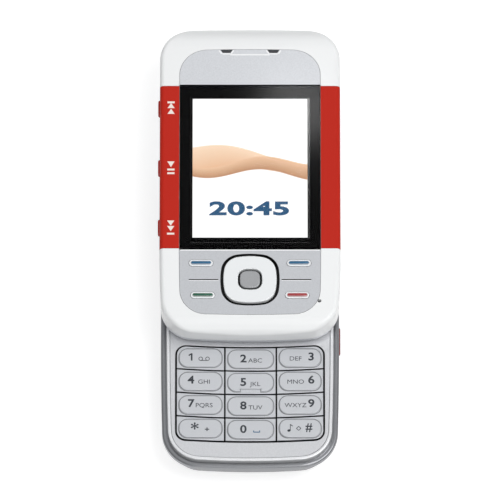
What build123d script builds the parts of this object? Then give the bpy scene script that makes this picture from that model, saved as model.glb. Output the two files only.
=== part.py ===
from build123d import *
import os

# A slide phone: a lower half with the number keys, and a slider with the screen that runs on steel rails.
# Millimetres. The lower half lies on its back: X is across, Y runs towards the earpiece end, Z comes out of
# the screen. The origin is the middle of the lower half's back face. The slider is drawn fully open.

# ---- lower half, outside ----
BASE_REACH = 2.6  # closed, the lower half reaches past the slider's foot by this
BASE_SIDE = 0.4  # and the slider past its sides by this
BASE_CORNER = 10.2  # corner radius in plan
BASE_WAIST = 0.7  # the foot is narrower by this, each side
BASE_WAIST_LENGTH = 38.0
BASE_HEAD_BULGE = 0.5
BASE_FOOT_BULGE = 1.1
BASE_LEAN = 3.3  # the walls lean in by this towards the back
BASE_BACK_EDGE = 3.0
BAND_HEIGHT = 1.6  # upright band at the widest place
BAND_EDGE = 0.6

# ---- lower half, inside, from the back to the front ----
FIT = 0.1  # gap between seated pieces
SLACK = 0.05  # gap between faces that slide on each other
COVER_THICKNESS = 1.4
COVER_DOWN = 36.0  # from the head of the phone to the battery cover
BATTERY_SIDE = 6.6  # from the phone's side to the battery
BATTERY_LENGTH = 46.0
BATTERY_THICKNESS = 5.0
BATTERY_UP = 8.0  # from the foot of the phone to the battery
BAY_ROOF = 0.8
BOARD_THICKNESS = 0.8
BOARD_ROOM = 0.8  # parts on the circuit board
HOUSING_WALL = 2.6
HEAD_ROOM_INSET = 6.2  # room for the camera and the loudspeaker
HEAD_ROOM_UP = 2.0  # from the cover's end to that room
RIBS = 4  # thumb grooves of the battery cover
RIB_START = 3.0
RIB_PITCH = 1.3
RIB_LENGTH = 12.0
RIB_WIDTH = 0.6
RIB_DEPTH = 0.25
BATTERY_CORNER = 1.5
BATTERY_EDGE = 0.4
CONTACT_PITCH = 3.2
CONTACT_DOWN = 1.5
CONTACT = (2.0, 0.4, 1.6)
CAN_DOWN = 26.0  # from the head of the phone to the middle of the shielding can
CAN_WIDTH = 24.0
CAN_LENGTH = 30.0
CAN_CORNER = 1.0
BEYOND = 200.0  # longer than the phone

# ---- front of the lower half ----
GROOVE_INSET = 1.0  # from the outline to the dark groove
GROOVE_WIDTH = 0.55
GROOVE_DEPTH = 1.2
RIM_WIDTH = 0.85
RIM_EDGE = 0.3
RIM_RISE = 0.3  # the bright rim stands above the keypad panel
PANEL_THICKNESS = 1.0
PANEL_EDGE = 0.15
CASE_LEDGE = 1.0  # the panel rests on this ledge
KEYPAD_SIDE = 4.1  # from the phone's side to the keypad
KEYPAD_LENGTH = 27.2
KEYPAD_FOOT = 7.1  # from the foot of the phone to the keypad
KEYPAD_CORNER = 2.6
KEYPAD_MARGIN = 1.2  # the case is open this far beyond the keypad, at the foot
KEYPAD_HEAD_MARGIN = 1.4
KEYPAD_SAG = 0.75  # the rows rise by this at the sides
MIDDLE_COLUMN = 13.6
COLUMN_SHIFT = 0.15  # the middle column lies this far to the right
KEY_GAP = 0.4
KEY_THICKNESS = 1.2
KEY_RISE = 0.12
KEY_PILLOW = 0.3
KEY_TRAVEL = 0.3
PILLOW_SIDE = 0.85  # from the column's edge to the pillow
PILLOW_WIDTH = 5.1
PILLOW_CORNER = 2.2
MOAT_WIDTH = 0.3  # groove round each pillow
MOAT_DEPTH = 0.2
NOTCH = (5.5, 0.75)  # in the middle key's pillow
MAT_THICKNESS = 0.5
MAT_REACH = 0.5  # beyond the keypad
MAT_POST = 1.3
DOME_RADIUS = 2.2
DOME_HEIGHT = 0.2

# ---- slide ----
KEYPAD_CLEAR = 0.9  # open, from the keypad to the slider's foot
SLIDE_GAP = 0.4  # between the rim and the slider
TOP_LAP = 0.4  # closed, the slider stops this short of the lower half's top
RAIL_WIDTH = 29.0
RAIL_SHEET = 0.4
RAIL_LIP = 1.8
RAIL_GAP = 1.0  # inside height of the rail
RAIL_TOP_WALL = 3.6  # from the top of the phone to the rails
RAIL_FOOT_WALL = 3.6  # from the keypad to the rails
RUNNER_SHEET = 0.5
RUNNER_STOP = 0.35
RUNNER_ROOM = 0.3
RAIL_HOLE = (12.0, 5.0)
RAIL_HOLE_IN = 6.0
STUD_RADIUS = 0.8
STUD_X = 9.0
STUD_IN = 3.0
SPRING_WIRE = 0.5
SPRING_COIL = 2.4
SPRING_X = -9.5
SPRING_LIFT = 0.15

# ---- slider, outside ----
SLIDER_WIDTH = 48.0
SLIDER_THICKNESS = 8.2
SLIDER_HEAD_CORNER = 9.6
SLIDER_FOOT_CORNER = 9.0
SLIDER_WAIST = 0.9
SLIDER_WAIST_LENGTH = 24.0
SLIDER_HEAD_BULGE = 0.5
SLIDER_FOOT_BULGE = 1.2
SLIDER_HEAD_DROP = 2.3  # the front slopes down at both ends
SLIDER_HEAD_SLOPE = 6.1
SLIDER_FOOT_DROP = 2.9
SLIDER_FOOT_SLOPE = 4.2
SLIDER_FRONT_EDGE = 1.2
SLIDER_BACK_EDGE = 1.3
BACK_COVER_HEIGHT = 2.0
BACK_COVER_FLOOR = 1.0
SLIDER_SCREW_SIDE = 2.2
SLIDER_SCREW_FOOT = 10.5
SLIDER_SCREW_HEAD = 12.5
SCREW_SEAT = 0.3
SCREW_BITE = 3.0
CONNECTOR = (18.0, 8.0, 1.0)  # on the slider's board
CONNECTOR_UP = 12.0

# ---- slider, front ----
INLAY_THICKNESS = 1.2
INLAY_GAP = 0.1
DECK_THICKNESS = 1.0
FACE_SIDE = 5.3  # from the slider's side to the inlaid face
FACE_HEAD = 7.0  # from the slider's head to the earpiece panel
EARPIECE_LENGTH = 10.5
WINDOW_LENGTH = 48.3
FUNCTION_LENGTH = 18.95
FACE_FOOT_WALL = 4.75  # from the face to the slider's foot
FACE_HEAD_CORNER = 7.4
FACE_FOOT_CORNER = 7.0
FACE_WAIST = 0.4
FACE_BULGE = 0.4
FACE_LEDGE = 1.3
CAVITY_MARGIN = 1.2  # the slider is hollow this far outside the inlaid face
STRIP_SHORT = 0.35  # the strips end this far short of the window's ends
STRIP_SKIN = 1.1
STRIP_DROP = 5.6
BORDER_SIDE = 3.45  # black border of the window, from its edge to the picture
BORDER_END = 3.75
GLASS_MARGIN = 2.05  # panel beyond the picture, each side
FRAME_WALL = 0.9
FRAME_HEIGHT = 3.8
FRAME_LIP = 2.0
FRAME_FLOOR = 0.5
FRAME_CORNER = 1.0
GASKET_CLEAR = 0.8  # from the picture to the gasket
GASKET_WALL = 0.9
GASKET_ROOM = 0.25
WINDOW_EDGE = 0.12
MESH_WIDTH = 17.0  # behind the earpiece's openings
MESH_LENGTH = 2.2
MESH_THICKNESS = 0.3
MESH_SEAT = 0.45
MESH_DOWN = 1.7
SOUND_WIDTH = 15.0
SOUND_LENGTH = 1.6
OPENING_X = 6.25  # earpiece openings at the panel's head edge
OPENING_WIDTH = 3.4
OPENING_FOOT = 2.0
OPENING_DEPTH = 1.0
OPENING_DROP = 0.05
GROOVE_DOWN = 1.45  # line that joins the two openings
LINE_WIDTH = 0.35
LINE_DEPTH = 0.25
EAR_SPEAKER = (13.0, 6.5)
EAR_SPEAKER_CORNER = 1.5
EAR_SPEAKER_HEIGHT = 2.6
EAR_SPEAKER_DOWN = 3.9

# ---- slider, keys ----
NAV_DROP = 8.85  # from the window's foot to the middle of the navigation key
NAV_WIDTH = 14.1
NAV_LENGTH = 13.5
NAV_GAP = 0.8
NAV_RISE = 0.4
NAV_THICKNESS = 1.2
NAV_ROCK = 0.3  # room under the key for its tilt
NAV_BULGE = 1.0
NAV_CORNER = 4.2
NAV_EDGE = 0.25
NAV_PAD_INSET = 1.6
SELECT_WIDTH = 5.4
SELECT_LENGTH = 5.0
SELECT_GAP = 0.5
SELECT_RISE = 0.3
SELECT_BULGE = 0.35
SELECT_CORNER = 1.6
NAV_DOME_OUT = 5.0
SMALL_DOME = 1.5
BOARD_LAP = 0.4
FUNCTION_KEY_SIDE = 2.55  # from the plate's side to a selection key
FUNCTION_KEY_IN = 2.7  # from a selection key to the navigation key
FUNCTION_KEY_WIDTH = 1.85
FUNCTION_KEY_RISE = 0.2
FUNCTION_KEY_EDGE = 0.15
FUNCTION_FLANGE = 0.4
BAR_MARGIN = 0.7  # coloured bar let into a function key
BAR_WIDTH = 1.05
BAR_DEPTH = 0.12
SOFT_KEY_UP = 4.8
CALL_KEY_IN = 0.45  # nearer to the middle than the selection keys
CALL_KEY_DOWN = 4.55
BUTTON_TRAVEL = 0.25
SLIT_IN = 1.3  # from the navigation key to the line beside it
SLIT_OUT = 2.5
SLIT_WIDTH = 0.3
MIC_RADIUS = 1.5
MIC_HOLE = 0.5
MIC_DOWN = 6.15
MIC_HEIGHT = 1.5
MIC_SHIFT = (-1.4, 0.9)  # from the hole to the microphone's middle
MUSIC_KEY_LENGTH = 3.8
MUSIC_KEY_HEIGHT = 2.4
MUSIC_PITCH = 17.5
MUSIC_SHIFT = 1.1  # the middle music key, above the window's middle
MUSIC_KEY_OUT = 0.45
MUSIC_KEY_UP = 1.6

# ---- side and end pieces of the lower half ----
SIDE_KEY_OUT = 0.5
SIDE_KEY_LOW = 0.12  # the rocker's middle
SIDE_KEY_HEIGHT = 3.0
SIDE_KEY_TOP = 0.5  # below the band
SIDE_KEY_DEPTH = 1.9
KEY_EDGE = 0.35
VOLUME_LENGTH = 16.4
VOLUME_DOWN = 33.15  # from the head of the phone to the middle of the rocker
VOLUME_PAD = 3.7  # raised end of the rocker
CAMERA_KEY_LENGTH = 8.0
CAMERA_KEY_UP = 37.5  # from the foot of the phone to the middle of the camera key
POWER_KEY_LENGTH = 5.0
POWER_KEY_X = 11.0
POWER_KEY_DEPTH = 1.6
POWER_KEY_HEIGHT = 2.4
POWER_KEY_OUT = 0.35
JACK_BORE = 1.27
JACK_RADIUS = 2.3
JACK_LENGTH = 9.0
JACK_X = 5.2
CHARGER_BORE = 1.0
CHARGER_RADIUS = 1.8
CHARGER_LENGTH = 7.0
CHARGER_X = -11.5
PIN_RADIUS = 0.25
PIN_SHORT = 0.8
SOCKET_END = 1.0  # closed end of a socket
USB_WIDTH = 7.7
USB_HEIGHT = 3.9
USB_LENGTH = 7.0
USB_WALL = 0.4
USB_X = -4.4
USB_CORNER = 0.9
TONGUE_WIDTH = 4.6
TONGUE_THICKNESS = 0.7
TONGUE_UP = 0.3
Z_PORT = 4.7
PORT_FACE_LEAN = 2.0
SOCKET_RECESS = 0.5
CAMERA_RADIUS = 3.4
CAMERA_DOWN = 16.5
GLASS_THICKNESS = 0.8
LENS_RECESS = 0.15
LENS_EDGE = 0.2
CAMERA_BODY = 8.0
CAMERA_STEP = 0.4
APERTURE = 1.1
APERTURE_DEPTH = 1.0
GRILLE_WIDTH = 13.0
GRILLE_LENGTH = 4.0
GRILLE_THICKNESS = 0.9
GRILLE_RECESS = 0.1
GRILLE_PITCH = (1.5, 1.3)
GRILLE_COUNT = (8, 3)
SPEAKER_WIDTH = 15.0
SPEAKER_LENGTH = 8.0
SPEAKER_HEIGHT = 3.0
SPEAKER_CORNER = 2.0
CONE_WIDTH = 11.0
CONE_LENGTH = 3.0
SPEAKER_X = 0.0
SPEAKER_DOWN = 26.5
GRILLE_HOLE = 0.45
SCREW_HEAD = 1.1
SCREW_SHANK = 0.6
SCREW_HEAD_HEIGHT = 0.8
SCREW_SHORT = 0.4
CROSS_LENGTH = 1.3
CROSS_WIDTH = 0.3
CROSS_DEPTH = 0.35
FOOT_SCREW_X = 11.0
FOOT_SCREW_UP = 4.7
WAIST_SCREW_SIDE = 4.6
WAIST_SCREW_DOWN = 40.0

# ---- heights that follow ----
Z_BATTERY = COVER_THICKNESS + FIT
Z_ROOF = Z_BATTERY + BATTERY_THICKNESS + FIT
Z_BOARD = Z_ROOF + BAY_ROOF
Z_HEAD_FLOOR = COVER_THICKNESS + 2 * FIT
Z_SHOULDER = Z_BOARD + BOARD_THICKNESS + BOARD_ROOM
Z_BAND = Z_SHOULDER + BAND_HEIGHT
Z_SEAT = Z_BAND - GROOVE_DEPTH
Z_PANEL = Z_BAND + PANEL_THICKNESS
Z_RIM = Z_PANEL + RIM_RISE
Z_KEY = Z_PANEL + KEY_RISE
Z_KEY_FOOT = Z_KEY - KEY_THICKNESS
Z_MAT = Z_KEY_FOOT - KEY_TRAVEL - SLACK
Z_SLIDER = Z_RIM + SLIDE_GAP
Z_WEB = Z_SLIDER - RUNNER_SHEET
Z_LIP = Z_WEB + RUNNER_SHEET / 2
Z_RAIL = Z_LIP - 2 * RAIL_SHEET - RAIL_GAP
Z_SPLIT = Z_SLIDER + BACK_COVER_HEIGHT
Z_FRONT = Z_SLIDER + SLIDER_THICKNESS
Z_INLAY = Z_FRONT - INLAY_THICKNESS
Z_DECK = Z_INLAY - DECK_THICKNESS
Z_SLIDER_BOARD = Z_SLIDER + BACK_COVER_FLOOR
Z_FUNCTION_BOARD = Z_DECK - BOARD_THICKNESS
Z_STEM = Z_DECK + DOME_HEIGHT + BUTTON_TRAVEL + SLACK
Z_SIDE_KEY = Z_SHOULDER - SIDE_KEY_TOP - SIDE_KEY_HEIGHT
Z_MUSIC = Z_SPLIT + MUSIC_KEY_UP
Z_SCREW = Z_SLIDER + SCREW_SEAT

# ---- sizes that follow ----
SLIDER_LENGTH = FACE_HEAD + EARPIECE_LENGTH + WINDOW_LENGTH + FUNCTION_LENGTH + FACE_FOOT_WALL
SLIDE_TRAVEL = KEYPAD_FOOT + KEYPAD_LENGTH + KEYPAD_CLEAR - BASE_REACH
BASE_LENGTH = SLIDER_LENGTH + BASE_REACH + TOP_LAP
BASE_WIDTH = SLIDER_WIDTH - 2 * BASE_SIDE
BATTERY_WIDTH = BASE_WIDTH - 2 * BATTERY_SIDE
KEYPAD_WIDTH = BASE_WIDTH - 2 * KEYPAD_SIDE
FACE_WIDTH = SLIDER_WIDTH - 2 * FACE_SIDE
STRIP_LENGTH = WINDOW_LENGTH - 2 * STRIP_SHORT
DISPLAY_WIDTH = FACE_WIDTH - 2 * BORDER_SIDE
DISPLAY_LENGTH = WINDOW_LENGTH - 2 * BORDER_END
GASKET_INNER = (DISPLAY_WIDTH + 2 * GASKET_CLEAR, DISPLAY_LENGTH + 2 * GASKET_CLEAR)
FUNCTION_KEY_LENGTH = (FACE_WIDTH - NAV_WIDTH) / 2 - FUNCTION_KEY_SIDE - FUNCTION_KEY_IN

# ---- places that follow ----
BASE_TOP = BASE_LENGTH / 2
BASE_FOOT = -BASE_LENGTH / 2
COVER_TOP = BASE_TOP - COVER_DOWN
CAN_Y = BASE_TOP - CAN_DOWN
CAMERA_Y = BASE_TOP - CAMERA_DOWN
SPEAKER_Y = BASE_TOP - SPEAKER_DOWN
WAIST_SCREW_Y = BASE_TOP - WAIST_SCREW_DOWN
VOLUME_MIDDLE = BASE_TOP - VOLUME_DOWN
CAMERA_KEY_MIDDLE = BASE_FOOT + CAMERA_KEY_UP
BATTERY_MIDDLE = BASE_FOOT + BATTERY_UP + BATTERY_LENGTH / 2
RIM_INSET = GROOVE_INSET + GROOVE_WIDTH
PANEL_INSET = RIM_INSET + RIM_WIDTH + INLAY_GAP
SLIDER_HEAD = BASE_TOP - TOP_LAP + SLIDE_TRAVEL
SLIDER_FOOT = SLIDER_HEAD - SLIDER_LENGTH
SLIDER_MIDDLE = (SLIDER_HEAD + SLIDER_FOOT) / 2
FACE_TOP = SLIDER_HEAD - FACE_HEAD
WINDOW_TOP = FACE_TOP - EARPIECE_LENGTH
WINDOW_FOOT = WINDOW_TOP - WINDOW_LENGTH
WINDOW_MIDDLE = (WINDOW_TOP + WINDOW_FOOT) / 2
FACE_FOOT = WINDOW_FOOT - FUNCTION_LENGTH
FACE_MIDDLE = (FACE_TOP + FACE_FOOT) / 2
NAV_Y = WINDOW_FOOT - NAV_DROP
SOFT_KEY_X = FACE_WIDTH / 2 - FUNCTION_KEY_SIDE - FUNCTION_KEY_LENGTH / 2
CALL_KEY_X = SOFT_KEY_X - CALL_KEY_IN
SLIT_START = NAV_WIDTH / 2 + SLIT_IN
SLIT_END = FACE_WIDTH / 2 - SLIT_OUT
KEYPAD_Y = BASE_FOOT + KEYPAD_FOOT
KEYPAD_TOP = KEYPAD_Y + KEYPAD_LENGTH
RAIL_HEAD = BASE_TOP - RAIL_TOP_WALL
RAIL_FOOT = KEYPAD_TOP + RAIL_FOOT_WALL
RAIL_LENGTH = RAIL_HEAD - RAIL_FOOT
RUNNER_LENGTH = RAIL_LENGTH - SLIDE_TRAVEL - 2 * RUNNER_STOP
RUNNER_FOOT = RAIL_HEAD - RUNNER_STOP - RUNNER_LENGTH
ROW_PITCH = KEYPAD_LENGTH / 4
MUSIC_Y = WINDOW_MIDDLE + MUSIC_SHIFT
SPRING_PIVOT = (SPRING_X, RUNNER_FOOT + RUNNER_LENGTH / 2 - SLIDE_TRAVEL / 2)
FOOT_SCREWS = [(side * FOOT_SCREW_X, BASE_FOOT + FOOT_SCREW_UP) for side in (-1, 1)]
WAIST_SCREW_X = BASE_WIDTH / 2 - WAIST_SCREW_SIDE
BASE_SCREWS = FOOT_SCREWS + [(side * WAIST_SCREW_X, WAIST_SCREW_Y) for side in (-1, 1)]
SCREW_ROWS = (SLIDER_FOOT + SLIDER_SCREW_FOOT, SLIDER_HEAD - SLIDER_SCREW_HEAD)
SLIDER_SCREW_X = SLIDER_WIDTH / 2 - SLIDER_SCREW_SIDE
SLIDER_SCREWS = [(side * SLIDER_SCREW_X, y) for side in (-1, 1) for y in SCREW_ROWS]


# ---- shapes used more than once ----
def outline(length, width, waist, waist_length, corners, bulges, grow=0.0):
    """Plan of a body with round corners: bulging ends, and a foot that draws in below the waist."""
    (head_bulge, foot_bulge), (head_corner, foot_corner) = bulges, [corner + grow for corner in corners]
    length, width, waist_length = length + 2 * grow, width + 2 * grow, waist_length + grow
    half, foot_half, top, foot = width / 2, width / 2 - waist, length / 2, -length / 2
    shoulder = foot + waist_length
    edges = Curve() + [
        ThreePointArc((-half, top - head_bulge), (0, top), (half, top - head_bulge)),
        Line((half, top - head_bulge), (half, shoulder)),
        TangentArc((half, shoulder), (foot_half, foot + foot_bulge), tangent=(0, -1)),
        ThreePointArc((foot_half, foot + foot_bulge), (0, foot), (-foot_half, foot + foot_bulge)),
        TangentArc((-half, shoulder), (-foot_half, foot + foot_bulge), tangent=(0, -1)),
        Line((-half, shoulder), (-half, top - head_bulge)),
    ]
    face = make_face(edges)
    for y, radius in ((top - head_bulge, head_corner), (foot + foot_bulge, foot_corner)):
        face = fillet(face.vertices().filter_by_position(Axis.Y, y - 0.01, y + 0.01), radius)
    return face


def base_plan(inset=0.0):
    """Plan of the lower half, drawn in by inset."""
    corners, bulges = (BASE_CORNER, BASE_CORNER), (BASE_HEAD_BULGE, BASE_FOOT_BULGE)
    return outline(BASE_LENGTH, BASE_WIDTH, BASE_WAIST, BASE_WAIST_LENGTH, corners, bulges, -inset)


def slider_plan():
    corners = (SLIDER_HEAD_CORNER, SLIDER_FOOT_CORNER)
    bulges = (SLIDER_HEAD_BULGE, SLIDER_FOOT_BULGE)
    return Pos(0, SLIDER_MIDDLE) * outline(
        SLIDER_LENGTH, SLIDER_WIDTH, SLIDER_WAIST, SLIDER_WAIST_LENGTH, corners, bulges
    )


def face_plan(grow=0.0):
    """Plan of the inlaid face: earpiece panel, window and function plate together."""
    corners, bulges = (FACE_HEAD_CORNER, FACE_FOOT_CORNER), (FACE_BULGE, FACE_BULGE)
    face = outline(FACE_TOP - FACE_FOOT, FACE_WIDTH, FACE_WAIST, FUNCTION_LENGTH, corners, bulges, grow)
    return Pos(0, FACE_MIDDLE) * face


def prism(face, low, high):
    """A plan face raised from one height to another."""
    return extrude(Pos(0, 0, low) * face, amount=high - low)


def block(x, y, z):
    """A box from its limits along each axis."""
    size = [high - low for low, high in (x, y, z)]
    middle = [(high + low) / 2 for low, high in (x, y, z)]
    return Pos(*middle) * Box(*size)


def slab(low, high, top=BEYOND):
    """Everything between two heights, up to a place along the phone."""
    return block((-BEYOND, BEYOND), (-BEYOND, top), (low, high))


def above(y):
    """The plan beyond a line across the phone, towards its head."""
    return Pos(0, y + BEYOND / 2) * Rectangle(BEYOND, BEYOND)


def below(y):
    """The plan beyond a line across the phone, towards its foot."""
    return Pos(0, y - BEYOND / 2) * Rectangle(BEYOND, BEYOND)


def rod(x, y, radius, low, high):
    return Pos(x, y, (low + high) / 2) * Cylinder(radius, high - low)


def pillow_face(width, length, bulge, corner):
    """A rounded square whose four sides bow outwards."""
    half, up = width / 2, length / 2
    edges = Curve() + [
        ThreePointArc((bulge - half, bulge - up), (0, -up), (half - bulge, bulge - up)),
        ThreePointArc((half - bulge, bulge - up), (half, 0), (half - bulge, up - bulge)),
        ThreePointArc((half - bulge, up - bulge), (0, up), (bulge - half, up - bulge)),
        ThreePointArc((bulge - half, up - bulge), (-half, 0), (bulge - half, bulge - up)),
    ]
    face = make_face(edges)
    return fillet(face.vertices(), corner)


def top_edges(solid):
    return solid.faces().sort_by(Axis.Z)[-1].edges()


def base_hull(grow=0.0):
    """The lower half's drafted shell below the band, swollen by grow."""
    hull = loft([base_plan(BASE_LEAN - grow), Pos(0, 0, Z_SHOULDER) * base_plan(-grow)])
    return fillet(hull.faces().sort_by(Axis.Z)[0].edges(), BASE_BACK_EDGE)


def slider_form():
    """The slider's whole outer form, with sloping ends and rounded edges."""
    head_bend = (SLIDER_HEAD - SLIDER_HEAD_SLOPE, Z_FRONT)
    foot_bend = (SLIDER_FOOT + SLIDER_FOOT_SLOPE, Z_FRONT)
    prof = Curve() + [
        Line((SLIDER_FOOT, Z_SLIDER), (SLIDER_HEAD, Z_SLIDER)),
        Line((SLIDER_HEAD, Z_SLIDER), (SLIDER_HEAD, Z_FRONT - SLIDER_HEAD_DROP)),
        TangentArc(head_bend, (SLIDER_HEAD, Z_FRONT - SLIDER_HEAD_DROP), tangent=(1, 0)),
        Line(foot_bend, head_bend),
        TangentArc(foot_bend, (SLIDER_FOOT, Z_FRONT - SLIDER_FOOT_DROP), tangent=(-1, 0)),
        Line((SLIDER_FOOT, Z_FRONT - SLIDER_FOOT_DROP), (SLIDER_FOOT, Z_SLIDER)),
    ]
    side = extrude(Plane.YZ * make_face(prof), amount=SLIDER_WIDTH, both=True)
    form = prism(slider_plan(), Z_SLIDER, Z_FRONT) & side
    front = [face for face in form.faces() if face.normal_at(face.center()).Z > 0.3]
    walls = [face for face in form.faces() if abs(face.normal_at(face.center()).Z) < 0.1]
    wall_edges = [edge for face in walls for edge in face.edges()]
    front_edges = [edge for face in front for edge in face.edges()]
    rim = [edge for edge in front_edges if any(edge.is_same(other) for other in wall_edges)]
    form = fillet(rim, SLIDER_FRONT_EDGE)
    return fillet(form.faces().sort_by(Axis.Z)[0].edges(), SLIDER_BACK_EDGE)


def row_arc(y, half):
    return ThreePointArc((-half, y + KEYPAD_SAG), (0, y), (half, y + KEYPAD_SAG))


def keypad_band(low, high, grow=0.0):
    """The strip of the keypad between two bowed rows."""
    half = KEYPAD_WIDTH / 2 + grow
    sides = [Line((x, low + KEYPAD_SAG), (x, high + KEYPAD_SAG)) for x in (-half, half)]
    return make_face(Curve() + [row_arc(low, half), row_arc(high, half), *sides])


def keypad_face(grow=0.0):
    whole = keypad_band(KEYPAD_Y - grow, KEYPAD_TOP + grow, grow)
    return fillet(whole.vertices(), KEYPAD_CORNER + grow)


def case_mouth(grow=0.0):
    """Plan of the front case's opening under the keypad."""
    mouth = base_plan(PANEL_INSET + CASE_LEDGE - grow) & below(KEYPAD_TOP + KEYPAD_HEAD_MARGIN + grow)
    return mouth & above(KEYPAD_Y - KEYPAD_MARGIN - grow)


def column_limits():
    left = COLUMN_SHIFT - MIDDLE_COLUMN / 2
    edges = (-KEYPAD_WIDTH / 2, left, left + MIDDLE_COLUMN, KEYPAD_WIDTH / 2)
    return list(zip(edges[:-1], edges[1:]))


# ---- lower half ----
def back_housing():
    shell = base_hull()
    shell -= slab(-BEYOND, COVER_THICKNESS + SLACK, COVER_TOP + FIT)
    half, reach = BATTERY_WIDTH / 2 + FIT, BATTERY_LENGTH / 2 + FIT
    shell -= block((-half, half), (BATTERY_MIDDLE - reach, BATTERY_MIDDLE + reach), (0, Z_ROOF))
    shell -= prism(base_plan(HOUSING_WALL), Z_BOARD, Z_SHOULDER)
    room = base_plan(HEAD_ROOM_INSET) & above(COVER_TOP + HEAD_ROOM_UP)
    shell -= prism(room, Z_HEAD_FLOOR, Z_BOARD)
    for middle, length in ((VOLUME_MIDDLE, VOLUME_LENGTH), (CAMERA_KEY_MIDDLE, CAMERA_KEY_LENGTH)):
        shell -= side_key_slot(middle, length)
    shell -= power_key_slot()
    shell -= socket_pockets()
    shell -= rod(0, CAMERA_Y, CAMERA_RADIUS + SLACK, -BEYOND, Z_ROOF)
    seat = Rectangle(GRILLE_WIDTH + FIT, GRILLE_LENGTH + FIT)
    shell -= prism(Pos(SPEAKER_X, SPEAKER_Y) * seat, 0, Z_ROOF)
    for x, y in BASE_SCREWS:
        shell -= rod(x, y, SCREW_HEAD + FIT, 0, Z_BATTERY + SCREW_HEAD_HEIGHT)
        shell -= rod(x, y, SCREW_SHANK + FIT, 0, Z_SHOULDER)
    return shell


def battery_cover():
    cover = base_hull() & slab(-BEYOND, COVER_THICKNESS, COVER_TOP)
    for step in range(RIBS):
        place = Pos(0, COVER_TOP - RIB_START - RIB_PITCH * step)
        cover -= place * Box(RIB_LENGTH - 2 * step, RIB_WIDTH, 2 * RIB_DEPTH)
    return cover


def battery():
    pack = prism(RectangleRounded(BATTERY_WIDTH, BATTERY_LENGTH, BATTERY_CORNER), Z_BATTERY, Z_ROOF - FIT)
    pack = fillet(pack.faces().sort_by(Axis.Z)[0].edges(), BATTERY_EDGE)
    for step in (-1, 0, 1):
        pack -= Pos(CONTACT_PITCH * step, BATTERY_LENGTH / 2, Z_ROOF - CONTACT_DOWN) * Box(*CONTACT)
    return Pos(0, BATTERY_MIDDLE) * pack


def main_board():
    """Circuit board, with the metal domes of the number keys and the radio's shielding can."""
    board = prism(base_plan(HOUSING_WALL + FIT), Z_BOARD, Z_BOARD + BOARD_THICKNESS)
    for x, y in key_centres():
        board += rod(x, y, DOME_RADIUS, Z_BOARD + BOARD_THICKNESS, Z_BOARD + BOARD_THICKNESS + DOME_HEIGHT)
    can = Pos(0, CAN_Y) * RectangleRounded(CAN_WIDTH, CAN_LENGTH, CAN_CORNER)
    board += prism(can, Z_BOARD + BOARD_THICKNESS, Z_SHOULDER)
    for x, y in BASE_SCREWS:
        board -= rod(x, y, SCREW_SHANK + 2 * FIT, Z_BOARD, Z_SHOULDER)
    return board


def key_centres():
    """Middle of each of the twelve keys, from the top row down and from left to right."""
    centres = []
    for row in range(3, -1, -1):
        for left, right in column_limits():
            x = (left + right) / 2
            lift = KEYPAD_SAG * (x / (KEYPAD_WIDTH / 2)) ** 2
            centres.append((x, KEYPAD_Y + ROW_PITCH * (row + 0.5) + lift))
    return centres


def keypad_mat():
    mat = prism(keypad_face(MAT_REACH) & case_mouth(-FIT), Z_MAT - MAT_THICKNESS, Z_MAT)
    for x, y in key_centres():
        mat += rod(x, y, MAT_POST, Z_BOARD + BOARD_THICKNESS + DOME_HEIGHT + SLACK, Z_MAT - MAT_THICKNESS)
    return mat


def number_key(index):
    """One key of the number pad: a plate cell with a raised pillow in a moat."""
    row, column = 3 - index // 3, index % 3
    left, right = column_limits()[column]
    low = KEYPAD_Y + ROW_PITCH * row
    cell = keypad_face() & keypad_band(low, low + ROW_PITCH)
    cell = cell & Pos((left + right) / 2, low) * Rectangle(right - left, 4 * ROW_PITCH)
    cell = offset(cell, amount=-KEY_GAP / 2)
    key = prism(cell, Z_KEY_FOOT, Z_KEY)
    key = fillet(top_edges(key), KEY_RISE)
    length, edge = right - left - 2 * PILLOW_SIDE, MOAT_WIDTH
    pillow = RectangleRounded(length, PILLOW_WIDTH, PILLOW_CORNER)
    moat = RectangleRounded(length + 2 * edge, PILLOW_WIDTH + 2 * edge, PILLOW_CORNER + edge)
    if index == 4:
        pillow -= Pos(0, (NOTCH[1] - PILLOW_WIDTH) / 2) * Rectangle(*NOTCH)
    place = Pos(*key_centres()[index])
    key -= place * prism(moat, Z_KEY - MOAT_DEPTH, Z_KEY)
    raised = prism(pillow, Z_KEY - MOAT_DEPTH, Z_KEY + KEY_PILLOW)
    return key + place * chamfer(top_edges(raised), KEY_PILLOW / 2)


def rail_pocket():
    reach = RAIL_WIDTH / 2 + FIT
    return block((-reach, reach), (RAIL_FOOT - FIT, RAIL_HEAD + FIT), (Z_RAIL, Z_RIM))


def keypad_panel():
    """Face plate of the lower half, open for the number keys and for the slide."""
    panel = prism(base_plan(PANEL_INSET), Z_BAND, Z_PANEL) - rail_pocket()
    panel -= prism(keypad_face(KEY_GAP / 2), Z_BAND, Z_PANEL)
    opening = panel.faces().sort_by(Axis.Z)[-1].inner_wires().sort_by(Axis.Y)[0]
    return chamfer(opening.edges(), PANEL_EDGE)


def keypad_rim():
    ring = base_plan(RIM_INSET) - base_plan(RIM_INSET + RIM_WIDTH)
    rim = prism(ring, Z_SEAT, Z_RIM)
    return fillet(top_edges(rim), RIM_EDGE)


def base_front_case():
    case = prism(base_plan(), Z_SHOULDER, Z_BAND)
    case = fillet(top_edges(case), BAND_EDGE)
    case -= prism(base_plan(GROOVE_INSET) - base_plan(PANEL_INSET), Z_SEAT, Z_BAND)
    case -= prism(case_mouth(), Z_SHOULDER, Z_BAND) + rail_pocket()
    for x, y in BASE_SCREWS:
        case -= rod(x, y, SCREW_SHANK + SLACK, Z_SHOULDER, Z_BAND - SCREW_SHORT + FIT)
    return case


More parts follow.
